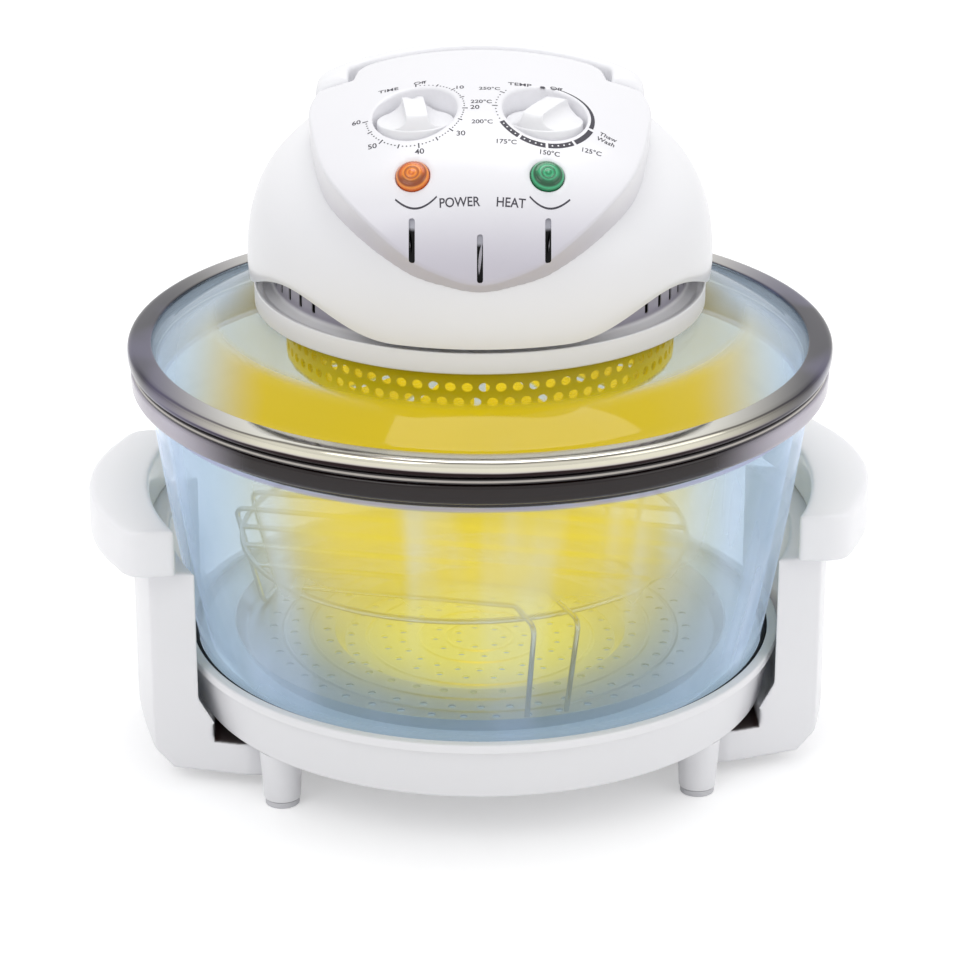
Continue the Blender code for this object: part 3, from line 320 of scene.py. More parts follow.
def swept(work, points, radius, sides=10, cyclic=False):
    """A round wire along a chain of points."""
    points = [Vector(p) for p in points]
    count = len(points)
    side = None
    rows = []
    for i, here in enumerate(points):
        before = points[i - 1] if cyclic or i else here
        after = points[(i + 1) % count] if cyclic or i < count - 1 else here
        along = (after - before).normalized()
        if side is None:
            side = along.orthogonal().normalized()
        side = (side - along * side.dot(along)).normalized()
        up = along.cross(side)
        rows.append([work.verts.new(here + (side * math.cos(2 * math.pi * k / sides)
                                            + up * math.sin(2 * math.pi * k / sides)) * radius)
                     for k in range(sides)])
    for first, second in zip(rows, rows[1:]):
        strip(work, first, second)
    if cyclic:
        turn = min(range(sides), key=lambda k: (rows[-1][0].co - rows[0][k].co).length)
        strip(work, rows[-1], rows[0][turn:] + rows[0][:turn])
    else:
        work.faces.new(rows[0])
        work.faces.new(rows[-1])


def prism(work, loop, low, high, matrix=None):
    """A flat loop carried from low to high along local Z."""
    matrix = matrix or Matrix.Identity(4)
    ends = [[work.verts.new(matrix @ Vector((p[0], p[1], z))) for p in loop] for z in (low, high)]
    strip(work, *ends)
    work.faces.new(ends[0])
    work.faces.new(ends[1])
    return work


def cleaned(work):
    """Merges doubles and turns every face outward."""
    bmesh.ops.remove_doubles(work, verts=work.verts, dist=weld)
    bmesh.ops.dissolve_degenerate(work, edges=work.edges, dist=1e-7)
    bmesh.ops.recalc_face_normals(work, faces=work.faces)
    return work


def loose(name, work):
    """A plain object from mesh work, not yet one of the oven's pieces."""
    mesh = bpy.data.meshes.new(name)
    cleaned(work).to_mesh(mesh)
    work.free()
    item = bpy.data.objects.new(name, mesh)
    bpy.context.scene.collection.objects.link(item)
    return item


def applied(item):
    """The object with its modifiers turned into plain mesh."""
    bpy.context.view_layer.update()
    graph = bpy.context.evaluated_depsgraph_get()
    mesh = bpy.data.meshes.new_from_object(item.evaluated_get(graph))
    item.modifiers.clear()
    item.data = mesh
    return item


def cut(item, *tools):
    """Takes each tool's shape out of the item."""
    for tool in tools:
        step = item.modifiers.new("cut", "BOOLEAN")
        step.operation = "DIFFERENCE"
        step.solver = "EXACT"
        step.object = tool
    applied(item)
    for tool in tools:
        bpy.data.objects.remove(tool, do_unlink=True)
    return item


def settle(item, surface, body, *nodes, sharp=34.0):
    """Makes an object one of the oven's pieces: its finish, its body and the nodes that it stands for."""
    surfaces = surface if isinstance(surface, (list, tuple)) else [surface]
    kept = [min(face.material_index, len(surfaces) - 1) for face in item.data.polygons]
    item.data.materials.clear()
    for one in surfaces:
        item.data.materials.append(one)
    item.data.polygons.foreach_set("material_index", kept)
    item.data.shade_smooth()
    item.data.set_sharp_from_angle(angle=math.radians(sharp))
    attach(item, body)
    if nodes:
        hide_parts(*nodes)
    return item


def rounded_block(item, voxel, passes):
    """Rounds every edge of a solid: a fine even mesh, then smoothed."""
    grid = item.modifiers.new("grid", "REMESH")
    grid.mode = "VOXEL"
    grid.voxel_size = voxel
    ease = item.modifiers.new("ease", "SMOOTH")
    ease.factor = 0.5
    ease.iterations = passes
    return applied(item)


# Repeats round the axis
def ring_tree():
    """Geometry Nodes that repeat one tile round the Z axis."""
    tree = bpy.data.node_groups.new("repeat round the axis", "GeometryNodeTree")
    for name, kind in (("Tile", "Geometry"), ("Count", "Int"), ("First angle", "Float"), ("Step", "Float"),
                       ("Material", "Material")):
        tree.interface.new_socket(name, in_out="INPUT", socket_type=f"NodeSocket{kind}")
    tree.interface.new_socket("Ring", in_out="OUTPUT", socket_type="NodeSocketGeometry")
    add, link = tree.nodes.new, tree.links.new
    given, out = add("NodeGroupInput"), add("NodeGroupOutput")
    line, index, turn = add("GeometryNodeMeshLine"), add("GeometryNodeInputIndex"), add("ShaderNodeMath")
    turn.operation = "MULTIPLY_ADD"
    spin = add("FunctionNodeAxisAngleToRotation")
    spin.inputs["Axis"].default_value = (0, 0, 1)
    copies, real = add("GeometryNodeInstanceOnPoints"), add("GeometryNodeRealizeInstances")
    merge, paint = add("GeometryNodeMergeByDistance"), add("GeometryNodeSetMaterial")
    line.inputs["Offset"].default_value = (0, 0, 0)
    merge.inputs["Distance"].default_value = weld
    link(given.outputs["Count"], line.inputs["Count"])
    link(index.outputs[0], turn.inputs[0])
    link(given.outputs["Step"], turn.inputs[1])
    link(given.outputs["First angle"], turn.inputs[2])
    link(turn.outputs[0], spin.inputs["Angle"])
    link(line.outputs[0], copies.inputs["Points"])
    link(given.outputs["Tile"], copies.inputs["Instance"])
    link(spin.outputs[0], copies.inputs["Rotation"])
    link(copies.outputs[0], real.inputs[0])
    link(real.outputs[0], merge.inputs["Geometry"])
    link(merge.outputs[0], paint.inputs["Geometry"])
    link(given.outputs["Material"], paint.inputs["Material"])
    link(paint.outputs[0], out.inputs[0])
    return tree


def repeated(work, count, first, step, surface):
    """One tile repeated round the axis, as a plain mesh in mesh work."""
    item = loose("tile", work)
    tree = bpy.data.node_groups.get("repeat round the axis") or ring_tree()
    ring = item.modifiers.new("ring", "NODES")
    ring.node_group = tree
    named = {socket.name: socket.identifier for socket in tree.interface.items_tree if socket.in_out == "INPUT"}
    for name, value in (("Count", count), ("First angle", first), ("Step", step), ("Material", surface)):
        ring[named[name]] = value
    applied(item)
    made = bmesh.new()
    made.from_mesh(item.data)
    bpy.data.objects.remove(item, do_unlink=True)
    return made


def absorb(work, other):
    """Adds one piece of mesh work to another."""
    mesh = bpy.data.meshes.new("part")
    other.to_mesh(mesh)
    other.free()
    work.from_mesh(mesh)
    bpy.data.meshes.remove(mesh)


def tile(width, height, hole_width, hole_height, spot, depth, walled=False):
    """A rectangle of sheet with a round hole; spot(across, up, depth) puts its points on the sheet."""
    work = bmesh.new()
    corners = [(0.5, 0.5), (-0.5, 0.5), (-0.5, -0.5), (0.5, -0.5)]
    edge, hole = [], []
    for k in range(16):
        a, b = corners[k // 4], corners[(k // 4 + 1) % 4]
        t = (k % 4) / 4
        edge.append(((a[0] + (b[0] - a[0]) * t) * width, (a[1] + (b[1] - a[1]) * t) * height))
        angle = math.radians(45 + 22.5 * k)
        hole.append((math.cos(angle) * hole_width / 2, math.sin(angle) * hole_height / 2))
    rows = []
    for down in (0.0, depth):
        for share in (0.0, 0.55, 1.0) if not down else (1.0, 0.0):
            rows.append([work.verts.new(spot(e[0] + (h[0] - e[0]) * share, e[1] + (h[1] - e[1]) * share, down))
                         for e, h in zip(edge, hole)])
    for first, second in zip(rows, rows[1:]):
        strip(work, first, second)
    if walled:
        top, bottom = rows[0], rows[-1]
        for k in (0, 1, 2, 3, 8, 9, 10, 11):
            work.faces.new((top[k], top[k + 1], bottom[k + 1], bottom[k]))
    return work


# Materials
class Value:
    """A socket that takes part in sums; each sum adds a Math node."""

    def __init__(self, sheet, socket):
        self.sheet = sheet
        self.socket = socket

    def sum(self, operation, first, second=0.0):
        return self.sheet.node("ShaderNodeMath", {"operation": operation}, {0: first, 1: second})

    def __add__(self, other):
        return self.sum("ADD", self, other)

    def __radd__(self, other):
        return self.sum("ADD", other, self)

    def __sub__(self, other):
        return self.sum("SUBTRACT", self, other)

    def __rsub__(self, other):
        return self.sum("SUBTRACT", other, self)

    def __mul__(self, other):
        return self.sum("MULTIPLY", self, other)

    def __rmul__(self, other):
        return self.sum("MULTIPLY", other, self)

    def __truediv__(self, other):
        return self.sum("DIVIDE", self, other)

    def __pow__(self, other):
        return self.sum("POWER", self, other)

    def __abs__(self):
        return self.sheet.node("ShaderNodeMath", {"operation": "ABSOLUTE"}, {0: self})


class Sheet:
    """A shader node tree and the few ways in which nodes are added to it."""

    def __init__(self, tree):
        self.tree = tree

    def node(self, kind, settings=None, inputs=None, output=0):
        made = self.tree.nodes.new(kind)
        for name, value in (settings or {}).items():
            if name == "stops":
                self.set_stops(made.color_ramp, value)
            else:
                setattr(made, name, value)
        for name, value in (inputs or {}).items():
            self.feed(made.inputs[name], value)
        return Value(self, made.outputs[output])

    def feed(self, socket, value):
        if isinstance(value, Value):
            self.tree.links.new(value.socket, socket)
        else:
            socket.default_value = value

    @staticmethod
    def set_stops(ramp, stops):
        while len(ramp.elements) < len(stops):
            ramp.elements.new(0.5)
        for stop, (place, colour) in zip(ramp.elements, stops):
            stop.position = place
            stop.color = full(colour)

    def parts(self, vector):
        return [self.node("ShaderNodeSeparateXYZ", None, {0: vector}, i) for i in range(3)]

    def largest(self, *values):
        found = values[0]
        for other in values[1:]:
            found = self.node("ShaderNodeMath", {"operation": "MAXIMUM"}, {0: found, 1: other})
        return found

    def seen(self):
        """1 where the camera sees a place itself, in a shine or through glass."""
        rays = ("Is Camera Ray", "Is Glossy Ray", "Is Transmission Ray")
        return self.largest(*(self.node("ShaderNodeLightPath", None, None, ray) for ray in rays))

    def rise(self, value, low, high):
        """0 below low, 1 above high, and a smooth step between."""
        return self.node("ShaderNodeMapRange", {"interpolation_type": "SMOOTHSTEP"},
                         {"Value": value, "From Min": low, "From Max": high})

    def fall(self, value, low, high):
        """1 below low, 0 above high, and a smooth step between."""
        return self.node("ShaderNodeMapRange", {"interpolation_type": "SMOOTHSTEP"},
                         {"Value": value, "From Min": low, "From Max": high, "To Min": 1.0, "To Max": 0.0})

    def mix(self, share, first, second):
        """A colour between two colours."""
        sides = {6: first, 7: second}
        return self.node("ShaderNodeMix", {"data_type": "RGBA"},
                         {0: share, **{k: c if isinstance(c, Value) else full(c) for k, c in sides.items()}}, 2)

    def ramp(self, value, *stops):
        return self.node("ShaderNodeValToRGB", {"stops": stops}, {0: value})

    def noise(self, scale, detail=2.0, stretch=(1, 1, 1), output=0):
        vector = self.node("ShaderNodeMapping", None, {"Vector": self.place, "Scale": stretch})
        return self.node("ShaderNodeTexNoise", None, {"Vector": vector, "Scale": scale, "Detail": detail}, output)


class Finish(Sheet):
    """A material with a Principled shader; plain sockets are given by name."""

    def __init__(self, name, **plain):
        self.material = bpy.data.materials.new(name)
        self.material.use_nodes = True
        super().__init__(self.material.node_tree)
        self.shader = self.tree.nodes["Principled BSDF"]
        self.place = self.node("ShaderNodeTexCoord", output="Object")
        self.x, self.y, self.z = self.parts(self.place)
        self.radius = (self.x * self.x + self.y * self.y) ** 0.5
        for word, value in plain.items():
            self.set(word.replace("_", " ").title().replace("Ior", "IOR"), value)

    def set(self, socket, value):
        if isinstance(value, tuple) and len(value) == 3:
            value = full(value)
        self.feed(self.shader.inputs[socket], value)
        return self

    def see_through(self, cover, tint):
        """Mixes the shader with clear glass; cover says how much of the shader shows."""
        clear = self.node("ShaderNodeBsdfTransparent", None, {"Color": full(tint)})
        shaders = {0: cover, 1: clear, 2: Value(self, self.shader.outputs[0])}
        self.feed(self.tree.nodes["Material Output"].inputs["Surface"],
                  self.node("ShaderNodeMixShader", None, shaders))
        return self

    def bump(self, height, distance, strength=1.0):
        self.set("Normal", self.node("ShaderNodeBump", None, {"Height": height, "Distance": distance,
                                                              "Strength": strength}, "Normal"))
        return self


def inside_shade(made):
    """1 inside the head's vent wall, where the dark behind the slots is painted shade."""
    return made.fall(made.radius, vent_wall_r - 0.0006, vent_wall_r - 0.0002) * made.rise(made.z, 0.2352, 0.2356)


def elbow_shade(made):
    """1 inside the arms' elbow windows, which get painted shade where the photographed ones are dark."""
    turned_back = made.node("ShaderNodeMapping", None, {"Vector": made.place, "Rotation": (0, 0, -stand_turn)})
    x, y, z = made.parts(turned_back)
    out, along = abs(x), abs(y)
    return (made.fall(out, 0.1362, 0.1372) * made.rise(along, 0.0402, 0.0410) * made.rise(z, 0.0236, 0.0246)
            * made.fall(z, 0.0336, 0.0346) * made.fall(along, 0.0690, 0.0700))


def recess_shade(made):
    """1 on the outside of the vent wall, which stands in the dome's shadow."""
    return (made.rise(made.radius, vent_wall_r - 0.0004, vent_wall_r - 0.0001)
            * made.fall(made.radius, vent_wall_r + 0.0002, vent_wall_r + 0.0030)
            * made.rise(made.z, ring_top_z, ring_top_z + 0.0020))


def grip_painted_light(made):
    """Painted light: the grips are painted a little whiter than the other mouldings."""
    return 0.8


def panel_shade(made):
    """Painted shade over the whole panel, rising towards its low tip, which is greyer in the photograph."""
    return 0.16 + made.fall(made.z, 0.284, 0.326) * 0.74


def moulded_white(name, colours, shades=()):
    """Glossy white moulding: faint flow marks, a fine grain, gloss that varies a little, and painted shade and
    painted light in given places.
    """
    base = tuple(colours.white)
    made = Finish(name, coat_weight=0.25, specular_ior_level=0.5)
    made.shader.inputs["Coat Roughness"].default_value = 0.12
    flow = made.noise(9.0, 3.0, (1, 1, 0.4))
    plain = made.mix(flow, tuple(c * 0.985 for c in base), base)
    for share_at, shaded in shades:
        plain = made.mix(share_at(made), plain, shaded)
    made.set("Base Color", plain)
    made.set("Roughness", 0.29 + made.noise(60.0) * 0.08)
    made.bump(made.noise(420.0, 1.0), 0.00001, 0.12)
    return made


def glow_share(made, reach):
    """How strongly the heater's yellow light falls on a place, by its distance from the axis."""
    return made.fall(made.radius, reach * 0.25, reach)


def bowl_glass(colours):
    """Faintly blue glass: a rim with painted dark reflection at the front, a frosted strip below it, blue edges,
    painted reflection streaks, painted light low down and the heater's glow painted on as yellow light.
    """
    made = Finish("bowl_glass", roughness=0.05, specular_ior_level=0.40)
    outside = made.rise(made.radius, bowl_heel_r - 0.0040, bowl_heel_r - 0.0010)
    height = made.z
    aside = abs(made.x)
    # Painted light: the heater's yellow glow, painted on the glass by place.
    glow = made.rise(height, 0.055, 0.130) * made.fall(aside, 0.060, 0.140) * made.fall(height, 0.185, 0.188)
    glow = glow * outside * made.fall(made.y, -0.060, -0.020)
    # Painted reflection: dark blue vertical streaks round the sides.
    reflection_streak = made.rise(made.noise(26.0, 2.0, (1, 1, 0.10)), 0.46, 0.68)
    rim = made.rise(height, 0.1884, 0.1890)
    frost = made.rise(height, 0.1858, 0.1866) * (1 - rim)
    # Painted light low down: paler, denser glass over the shade behind it.
    heel = made.fall(height, 0.052, 0.072)
    face = made.node("ShaderNodeLayerWeight", None, {"Blend": 0.38}, "Facing")
    body = made.mix(glow, tone(172, 188, 192), tone(216, 194, 28))
    body = made.mix(face ** 1.5, body, tone(186, 200, 228))
    body = made.mix(reflection_streak * 0.55, body, tone(190, 206, 234))
    body = made.mix(heel * 0.8, body, tone(198, 212, 220))
    body = made.mix(frost, body, tone(146, 146, 178))
    # Painted reflection on the rim: dark at the front, pale at the sides.
    body = made.mix(rim, body, made.mix(made.rise(aside, 0.105, 0.150), tone(22, 8, 8), tone(190, 184, 196)))
    made.set("Base Color", body)
    # Painted light: the whole glass glows pale, and yellow where the heater's glow is painted; the rim gets none.
    lit = made.mix(glow * (1 - face), body, tone(240, 216, 8))
    made.set("Emission Color", made.mix(rim, lit, (0, 0, 0)))
    made.set("Emission Strength", 0.36)
    thin = 0.12 + face ** 2.0 * 0.62 + reflection_streak * face * 0.25 + glow * made.rise(height, 0.09, 0.18) * 0.54
    return made.see_through(made.largest(thin, heel * 0.60, frost * 0.75, rim * 0.97), tone(238, 245, 252))


def lid_glass_finish(colours):
    """The lid's glass: pale blue towards the hoop with painted reflection streaks, and painted yellow light round
    the head.
    """
    made = Finish("lid_glass", roughness=0.05, specular_ior_level=0.25)
    aside = abs(made.x)
    # Painted light: the heater's yellow glow round the head, painted on by place.
    near = made.fall(made.radius, 0.104, 0.140) * 0.75
    glow = made.largest(made.fall(aside, 0.098, 0.160) * made.fall(made.y, -0.035, 0.045), near)
    glow = glow * (0.80 + made.noise(9.0) * 0.35)
    face = made.node("ShaderNodeLayerWeight", None, {"Blend": 0.30}, "Facing")
    # Painted reflection streaks.
    reflection_streak = made.rise(made.noise(30.0, 2.0, (1, 1, 0.2)), 0.45, 0.75)
    body = made.mix(reflection_streak * 0.5, tone(190, 206, 220), tone(158, 180, 206))
    body = made.mix(glow, body, tone(190, 166, 2))
    made.set("Base Color", body)
    # Painted light: the glass glows, yellow round the head.
    made.set("Emission Color", made.mix(glow, body, tone(214, 188, 6)))
    made.set("Emission Strength", 0.20)
    cover = 0.22 + face ** 2.0 * 0.50 + glow * made.rise(made.radius, 0.127, 0.136) * 0.68
    return made.see_through(cover, tone(236, 243, 250))


def hoop_chrome(colours):
    """Bright plated metal with painted reflections: the dark and light bands of a room round the profile, and
    darker painted patches at the sides.
    """
    made = Finish("hoop_chrome", metallic=1.0)
    # Painted reflection: darker, patchy towards the sides.
    side = made.rise(abs(made.x), 0.090, 0.165)
    up = (made.z - band_low_z) / (band_top_z - band_low_z)
    wave = made.noise(13.0, 2.0, (1, 1, 0.2)) * 0.24
    bands = made.ramp(up + wave - 0.12, (0.0, tone(26, 16, 18)), (0.34, tone(44, 34, 36)),
                      (0.42, tone(190, 184, 178)),
                      (0.50, tone(204, 200, 182)), (0.84, tone(214, 210, 194)), (0.92, tone(96, 90, 84)),
                      (0.97, tone(226, 224, 214)))
    patch = made.rise(made.noise(11.0, 2.0, (1, 1, 0.1)), 0.46, 0.58)
    dark = made.mix(patch, tone(74, 70, 98), tone(26, 22, 42))
    made.set("Base Color", made.mix(side * 0.96, bands, dark))
    made.set("Roughness", 0.07 + made.noise(240.0) * 0.08)
    made.bump(made.noise(420.0), 0.00002, 0.3)
    return made


def sheet_steel(name, colour, glow, reach, rough=0.30, shine=1.0):
    """Pressed bright sheet, lit yellow near the heater's axis."""
    made = Finish(name, metallic=shine)
    grain = made.noise(260.0, 3.0, (1, 1, 0.2))
    lit = glow_share(made, reach)
    made.set("Base Color", made.mix(lit * 0.8, made.mix(grain, tuple(c * 0.88 for c in colour), colour),
                                    tone(232, 212, 90)))
    made.set("Emission Color", made.mix(lit * glow, (0, 0, 0), tone(224, 200, 44)))
    made.set("Emission Strength", 1.0)
    made.set("Roughness", rough - 0.06 + grain * 0.14)
    made.bump(grain, 0.00003, 0.4)
    return made


def mottled(name, first, second, mottle, gloss, grain=None, **plain):
    """Two near colours; gloss is (least, range, scale) and grain is (scale, depth, strength)."""
    made = Finish(name, **plain)
    made.set("Base Color", made.mix(made.noise(*mottle), first, second))
    made.set("Roughness", gloss[0] + made.noise(gloss[2]) * gloss[1])
    return made.bump(made.noise(grain[0]), *grain[1:]) if grain else made


def plain_metal(name, colour, rough):
    made = Finish(name, metallic=0.9)
    grain = made.noise(320.0, 3.0, (1, 1, 0.15))
    made.set("Base Color", made.mix(grain, tuple(c * 0.8 for c in colour), colour))
    made.set("Roughness", rough - 0.08 + grain * 0.16)
    return made.bump(grain, 0.00004, 0.5)


def hot_quartz(colours):
    made = Finish("hot_quartz", roughness=0.10)
    made.set("Base Color", made.mix(made.noise(40.0), tone(255, 236, 150), tone(250, 214, 90)))
    made.set("Emission Color", made.mix(made.noise(60.0), tone(255, 238, 120), tone(255, 222, 60)))
    made.set("Emission Strength", colours.tube_light)
    return made


def lens_finish(name, side, deep, bright):
    """Clear coloured plastic over a lamp: ridged rings painted with highlights, a bright ring of painted highlight
    and a dark crescent of painted shade.
    """
    made = Finish(name, roughness=0.14, coat_weight=0.35)
    made.shader.inputs["Coat Roughness"].default_value = 0.05
    middle = crown_frame(side * lamp_x, lamp_y)
    turn = middle.inverted().to_euler()
    centre = middle.inverted().to_translation()
    local = made.node("ShaderNodeMapping", None, {"Vector": made.place, "Location": tuple(centre),
                                                  "Rotation": tuple(turn)})
    lx, ly = made.parts(local)[:2]
    reach = (lx * lx + ly * ly) ** 0.5 / lens_r
    # Painted highlights and shade on the rings.
    rings = made.ramp(reach, (0.0, bright), (0.16, deep), (0.26, bright), (0.40, tuple(c * 0.55 for c in deep)),
                      (0.50, bright), (0.70, deep), (0.84, tuple(c * 0.45 for c in deep)),
                      (0.93, bright), (1.0, deep))
    # Painted shade: a dark crescent on the lower side.
    shade_crescent = made.rise(reach, 0.42, 0.60) * made.fall(reach, 0.74, 0.86) * made.fall(ly, -0.0030, 0.0010)
    colour = made.mix(shade_crescent * 0.7, rings, tuple(c * 0.18 for c in deep))
    made.set("Base Color", colour)
    made.set("Emission Color", made.mix(0.5, colour, rings))
    made.set("Emission Strength", 0.06)
    return made.bump(made.node("ShaderNodeMath", {"operation": "SINE"}, {0: reach * 26.0}), 0.00012, 0.5)


def slot_shade(colours):
    """The inside of the panel's slots: painted shade in black, and pale at the top end where the light reaches."""
    made = Finish("slot_shade", specular_ior_level=0.2)
    outer = made.rise(abs(made.x), 0.010, 0.020)
    top = 0.3018 + outer * 0.0062
    lit = made.rise(made.z - top, -0.0062, -0.0040)
    made.set("Base Color", made.mix(lit, tone(12, 12, 14), tone(196, 196, 204)))
    made.set("Roughness", 0.5 + made.noise(200.0) * 0.2)
    return made


# Settings
class OvenColours(bpy.types.PropertyGroup):
    """Colours and light of the oven's finishes"""
    white: FloatVectorProperty(name="White plastic", description="Colour of the white mouldings", subtype="COLOR",
                               default=(0.880, 0.880, 0.905), min=0.0, max=1.0)
    ink: FloatVectorProperty(name="Print", description="Colour of the dial scales and words", subtype="COLOR",
                             default=(0.045, 0.042, 0.055), min=0.0, max=1.0)
    steel: FloatVectorProperty(name="Steel", description="Colour of tray, rack and heater cage", subtype="COLOR",
                               default=(0.52, 0.56, 0.60), min=0.0, max=1.0)
    glow: FloatProperty(name="Glow", description="How strongly the heater lights tray and cage", default=0.75,
                        min=0.0, max=2.0)
    tube_light: FloatProperty(name="Halogen light", description="Light that the halogen tube gives", default=1.2,
                              min=0.0, max=20.0)


class OvenShapes(bpy.types.PropertyGroup):
    """Sizes of the oven's finer shapes"""
    turns: IntProperty(name="Turned steps", description="Faces round each turned piece", default=192, min=24,
                       max=360)
    edge: FloatProperty(name="Panel edge", description="Rounding of the panel's edge", default=0.0014,
                        unit="LENGTH", min=0.0005, max=0.003)
    cage_holes: IntProperty(name="Cage holes", description="Holes in each row of the cage", default=75, min=12,
                            max=120)
    tray_hole: FloatProperty(name="Tray hole", description="Width of the tray's round holes", default=0.0040,
                             unit="LENGTH", min=0.002, max=0.006)
    letter: FloatProperty(name="Letters", description="Height of the scale's numbers", default=0.0031,
                          unit="LENGTH", min=0.001, max=0.006)
    mesh_step: FloatProperty(name="Panel mesh", description="Spacing of the panel's mesh", default=0.0022,
                             unit="LENGTH", min=0.001, max=0.01)


class OvenStage(bpy.types.PropertyGroup):
    """Camera and light of the plain stage"""
    lens: FloatProperty(name="Lens", description="Focal length on a 36 mm wide frame, mm", default=133.4, min=20.0,
                        max=300.0)
    look_down: FloatProperty(name="Looks down", description="Angle of the view below the horizon",
                             default=math.radians(22.28), subtype="ANGLE")
    soft_light: FloatProperty(name="Room light", description="Light from all round on plain surfaces", default=0.71,
                              min=0.0, max=2.0)
    key: FloatProperty(name="Main lamp", description="Power of the lamp at upper left", default=7.5, unit="POWER")
    fill: FloatProperty(name="Fill lamp", description="Power of the lamp at the right", default=5.0, unit="POWER")
    top: FloatProperty(name="Top lamp", description="Power of the lamp overhead", default=15.0, unit="POWER")
    floor: FloatProperty(name="Floor", description="Half width of the floor", default=8.0, unit="LENGTH")


finishes = {}


def finish_named(name, make, *rest):
    """Each finish is made once and shared."""
    if name not in finishes:
        finishes[name] = make(*rest).material
    return finishes[name]


def white_finish(scene):
    return finish_named("white", moulded_white, "white_moulding", scene.oven_colours)


def rubber_finish():
    return finish_named("rubber", lambda: mottled(
        "black_rubber", tone(20, 20, 24), tone(40, 40, 46), (80.0, 3.0), (0.62, 0.2, 300.0), (700.0, 0.00005, 0.5),
        specular_ior_level=0.35))


# Stand
def make_base(scene):
    steps = scene.oven_shapes.turns
    ledge_z = tray_top_z - seat_gap - 0.0066 - 0.0016
    ledge_r = bowl_outer_r(ledge_z) + 0.0010
    pocket_r = ledge_r + 0.0030 + seat_gap
    recess_z = tray_bottom_z + 0.0085
    floor_z = bowl_low_z - seat_gap
    lip_z = tray_top_z - 0.0045
    outline = profile(
        (0.0, floor_z), (bowl_heel_r - 0.006, floor_z, 0.002), (ledge_r, floor_z + 0.003, 0.002),
        (ledge_r, ledge_z),
        (pocket_r, ledge_z), (pocket_r, tray_top_z, 0.0008), (tray_lip_r, tray_top_z, 0.0013),
        (tray_lip_r, lip_z, 0.0007), (tray_side_r, lip_z - 0.0010, 0.0008), (tray_low_r, tray_bottom_z, 0.0018),
        (0.1120, tray_bottom_z, 0.0008), (0.1110, recess_z, 0.001), (0.0, recess_z))
    settle(loose("base_moulding", turned(outline, steps)), white_finish(scene), "stand", "base_tray")
    low, high = ledge_z + seat_gap, ledge_z + seat_gap + 0.0066
    outline = profile((ledge_r, low), (pocket_r - seat_gap, low, 0.0004), (pocket_r - seat_gap, high, 0.0012),
                      (bowl_outer_r(high) + 0.0005, high, 0.0005))
    settle(loose("seat_seal", turned(outline, steps)), rubber_finish(), "stand", "seat_ring")


def make_feet(scene):
    stand = Matrix.Rotation(stand_turn, 4, "Z")
    for i, (sx, sy) in enumerate([(-1, -1), (1, -1), (1, 1), (-1, 1)], start=1):
        spot = stand @ Matrix.Translation((sx * foot_circle_r * math.cos(foot_angle),
                                           sy * foot_circle_r * math.sin(foot_angle), 0))
        outline = profile((0.0, foot_low_z), (0.0092, foot_low_z, 0.0012), (0.0096, 0.0120, 0.002),
                          (foot_top_r, foot_top_z, 0.0006), (0.0, foot_top_z))
        settle(loose(f"foot_moulding_{i}", turned(outline, 64, spot)), white_finish(scene), "stand", f"foot_{i}")
        pad_top_z = foot_low_z - seat_gap
        outline = profile((0.0, 0.0), (0.0085, 0.0, 0.0006), (0.0085, pad_top_z, 0.0003), (0.0, pad_top_z))
        pale = finish_named("pale_rubber", lambda: mottled(
            "pale_rubber", tone(206, 206, 210), tone(220, 220, 224), (80.0, 3.0), (0.58, 0.2, 300.0),
            (700.0, 0.00005, 0.5), specular_ior_level=0.35))
        settle(loose(f"foot_rubber_{i}", turned(outline, 64, spot)), pale, "stand", f"foot_pad_{i}")


def arm_solid(frame_at):
    """An upright with its foot beam, hollowed round the bowl and the tray, with a window at each elbow."""
    beam_y = foot_circle_r * math.sin(foot_angle) - foot_top_r - 0.0030
    beam_x, shoulder_x = arm_inner_r - 0.0590, arm_inner_r - 0.0370
    corner = math.asin(arm_half_width / arm_outer_r)
    plan = ([(beam_x, -beam_y), (shoulder_x, -beam_y)] + arc((0, 0), arm_outer_r, -corner, corner, 40)
            + [(shoulder_x, beam_y), (beam_x, beam_y)])
    arm = loose("arm", prism(bmesh.new(), plan, beam_low_z, arm_top_z))
    hollow = loose("hollow", turned([(0.0, 0.145), (arm_inner_r, 0.145), (arm_inner_r, 0.0470),
                                     (tray_side_r + 0.0012, 0.0340), (tray_side_r, tray_bottom_z - seat_gap),
                                     (0.0, tray_bottom_z - seat_gap)], 192))
    half = 0.0190 / math.sqrt(2)
    slope = Matrix.Translation((arm_outer_r, 0, beam_low_z)) @ Matrix.Rotation(math.radians(45), 4, "Y")
    bevel = loose("bevel", prism(bmesh.new(), [(-half, -0.2), (half, -0.2), (half, 0.2), (-half, 0.2)], -half, half,
                                 slope))
    tools = [hollow, bevel]
    for end in (-1, 1):
        near, far = sorted((end * (arm_half_width - 0.0160), end * (arm_half_width + 0.0300)))
        loop = [(beam_x - 0.001, near), (arm_inner_r - 0.0200, near), (arm_inner_r - 0.0200, far),
                (beam_x - 0.001, far)]
        tools.append(loose("window", prism(bmesh.new(), loop, 0.0245, 0.0340)))
    cut(arm, *tools)
    rounded_block(arm, 0.0011, 9)
    arm.data.transform(frame_at)
    return arm


def make_arms(scene):
    for name, angle in (("right", 0.0), ("left", math.pi)):
        arm = arm_solid(Matrix.Rotation(stand_turn + angle, 4, "Z"))
        arm.name = f"arm_moulding_{name}"
        # The arms' white carries painted shade inside the elbow windows.
        surface = finish_named("arm_white", moulded_white, "arm_white", scene.oven_colours,
                               [(elbow_shade, tone(40, 26, 24))])
        settle(arm, surface, "stand", f"arm_{name}", sharp=60.0)


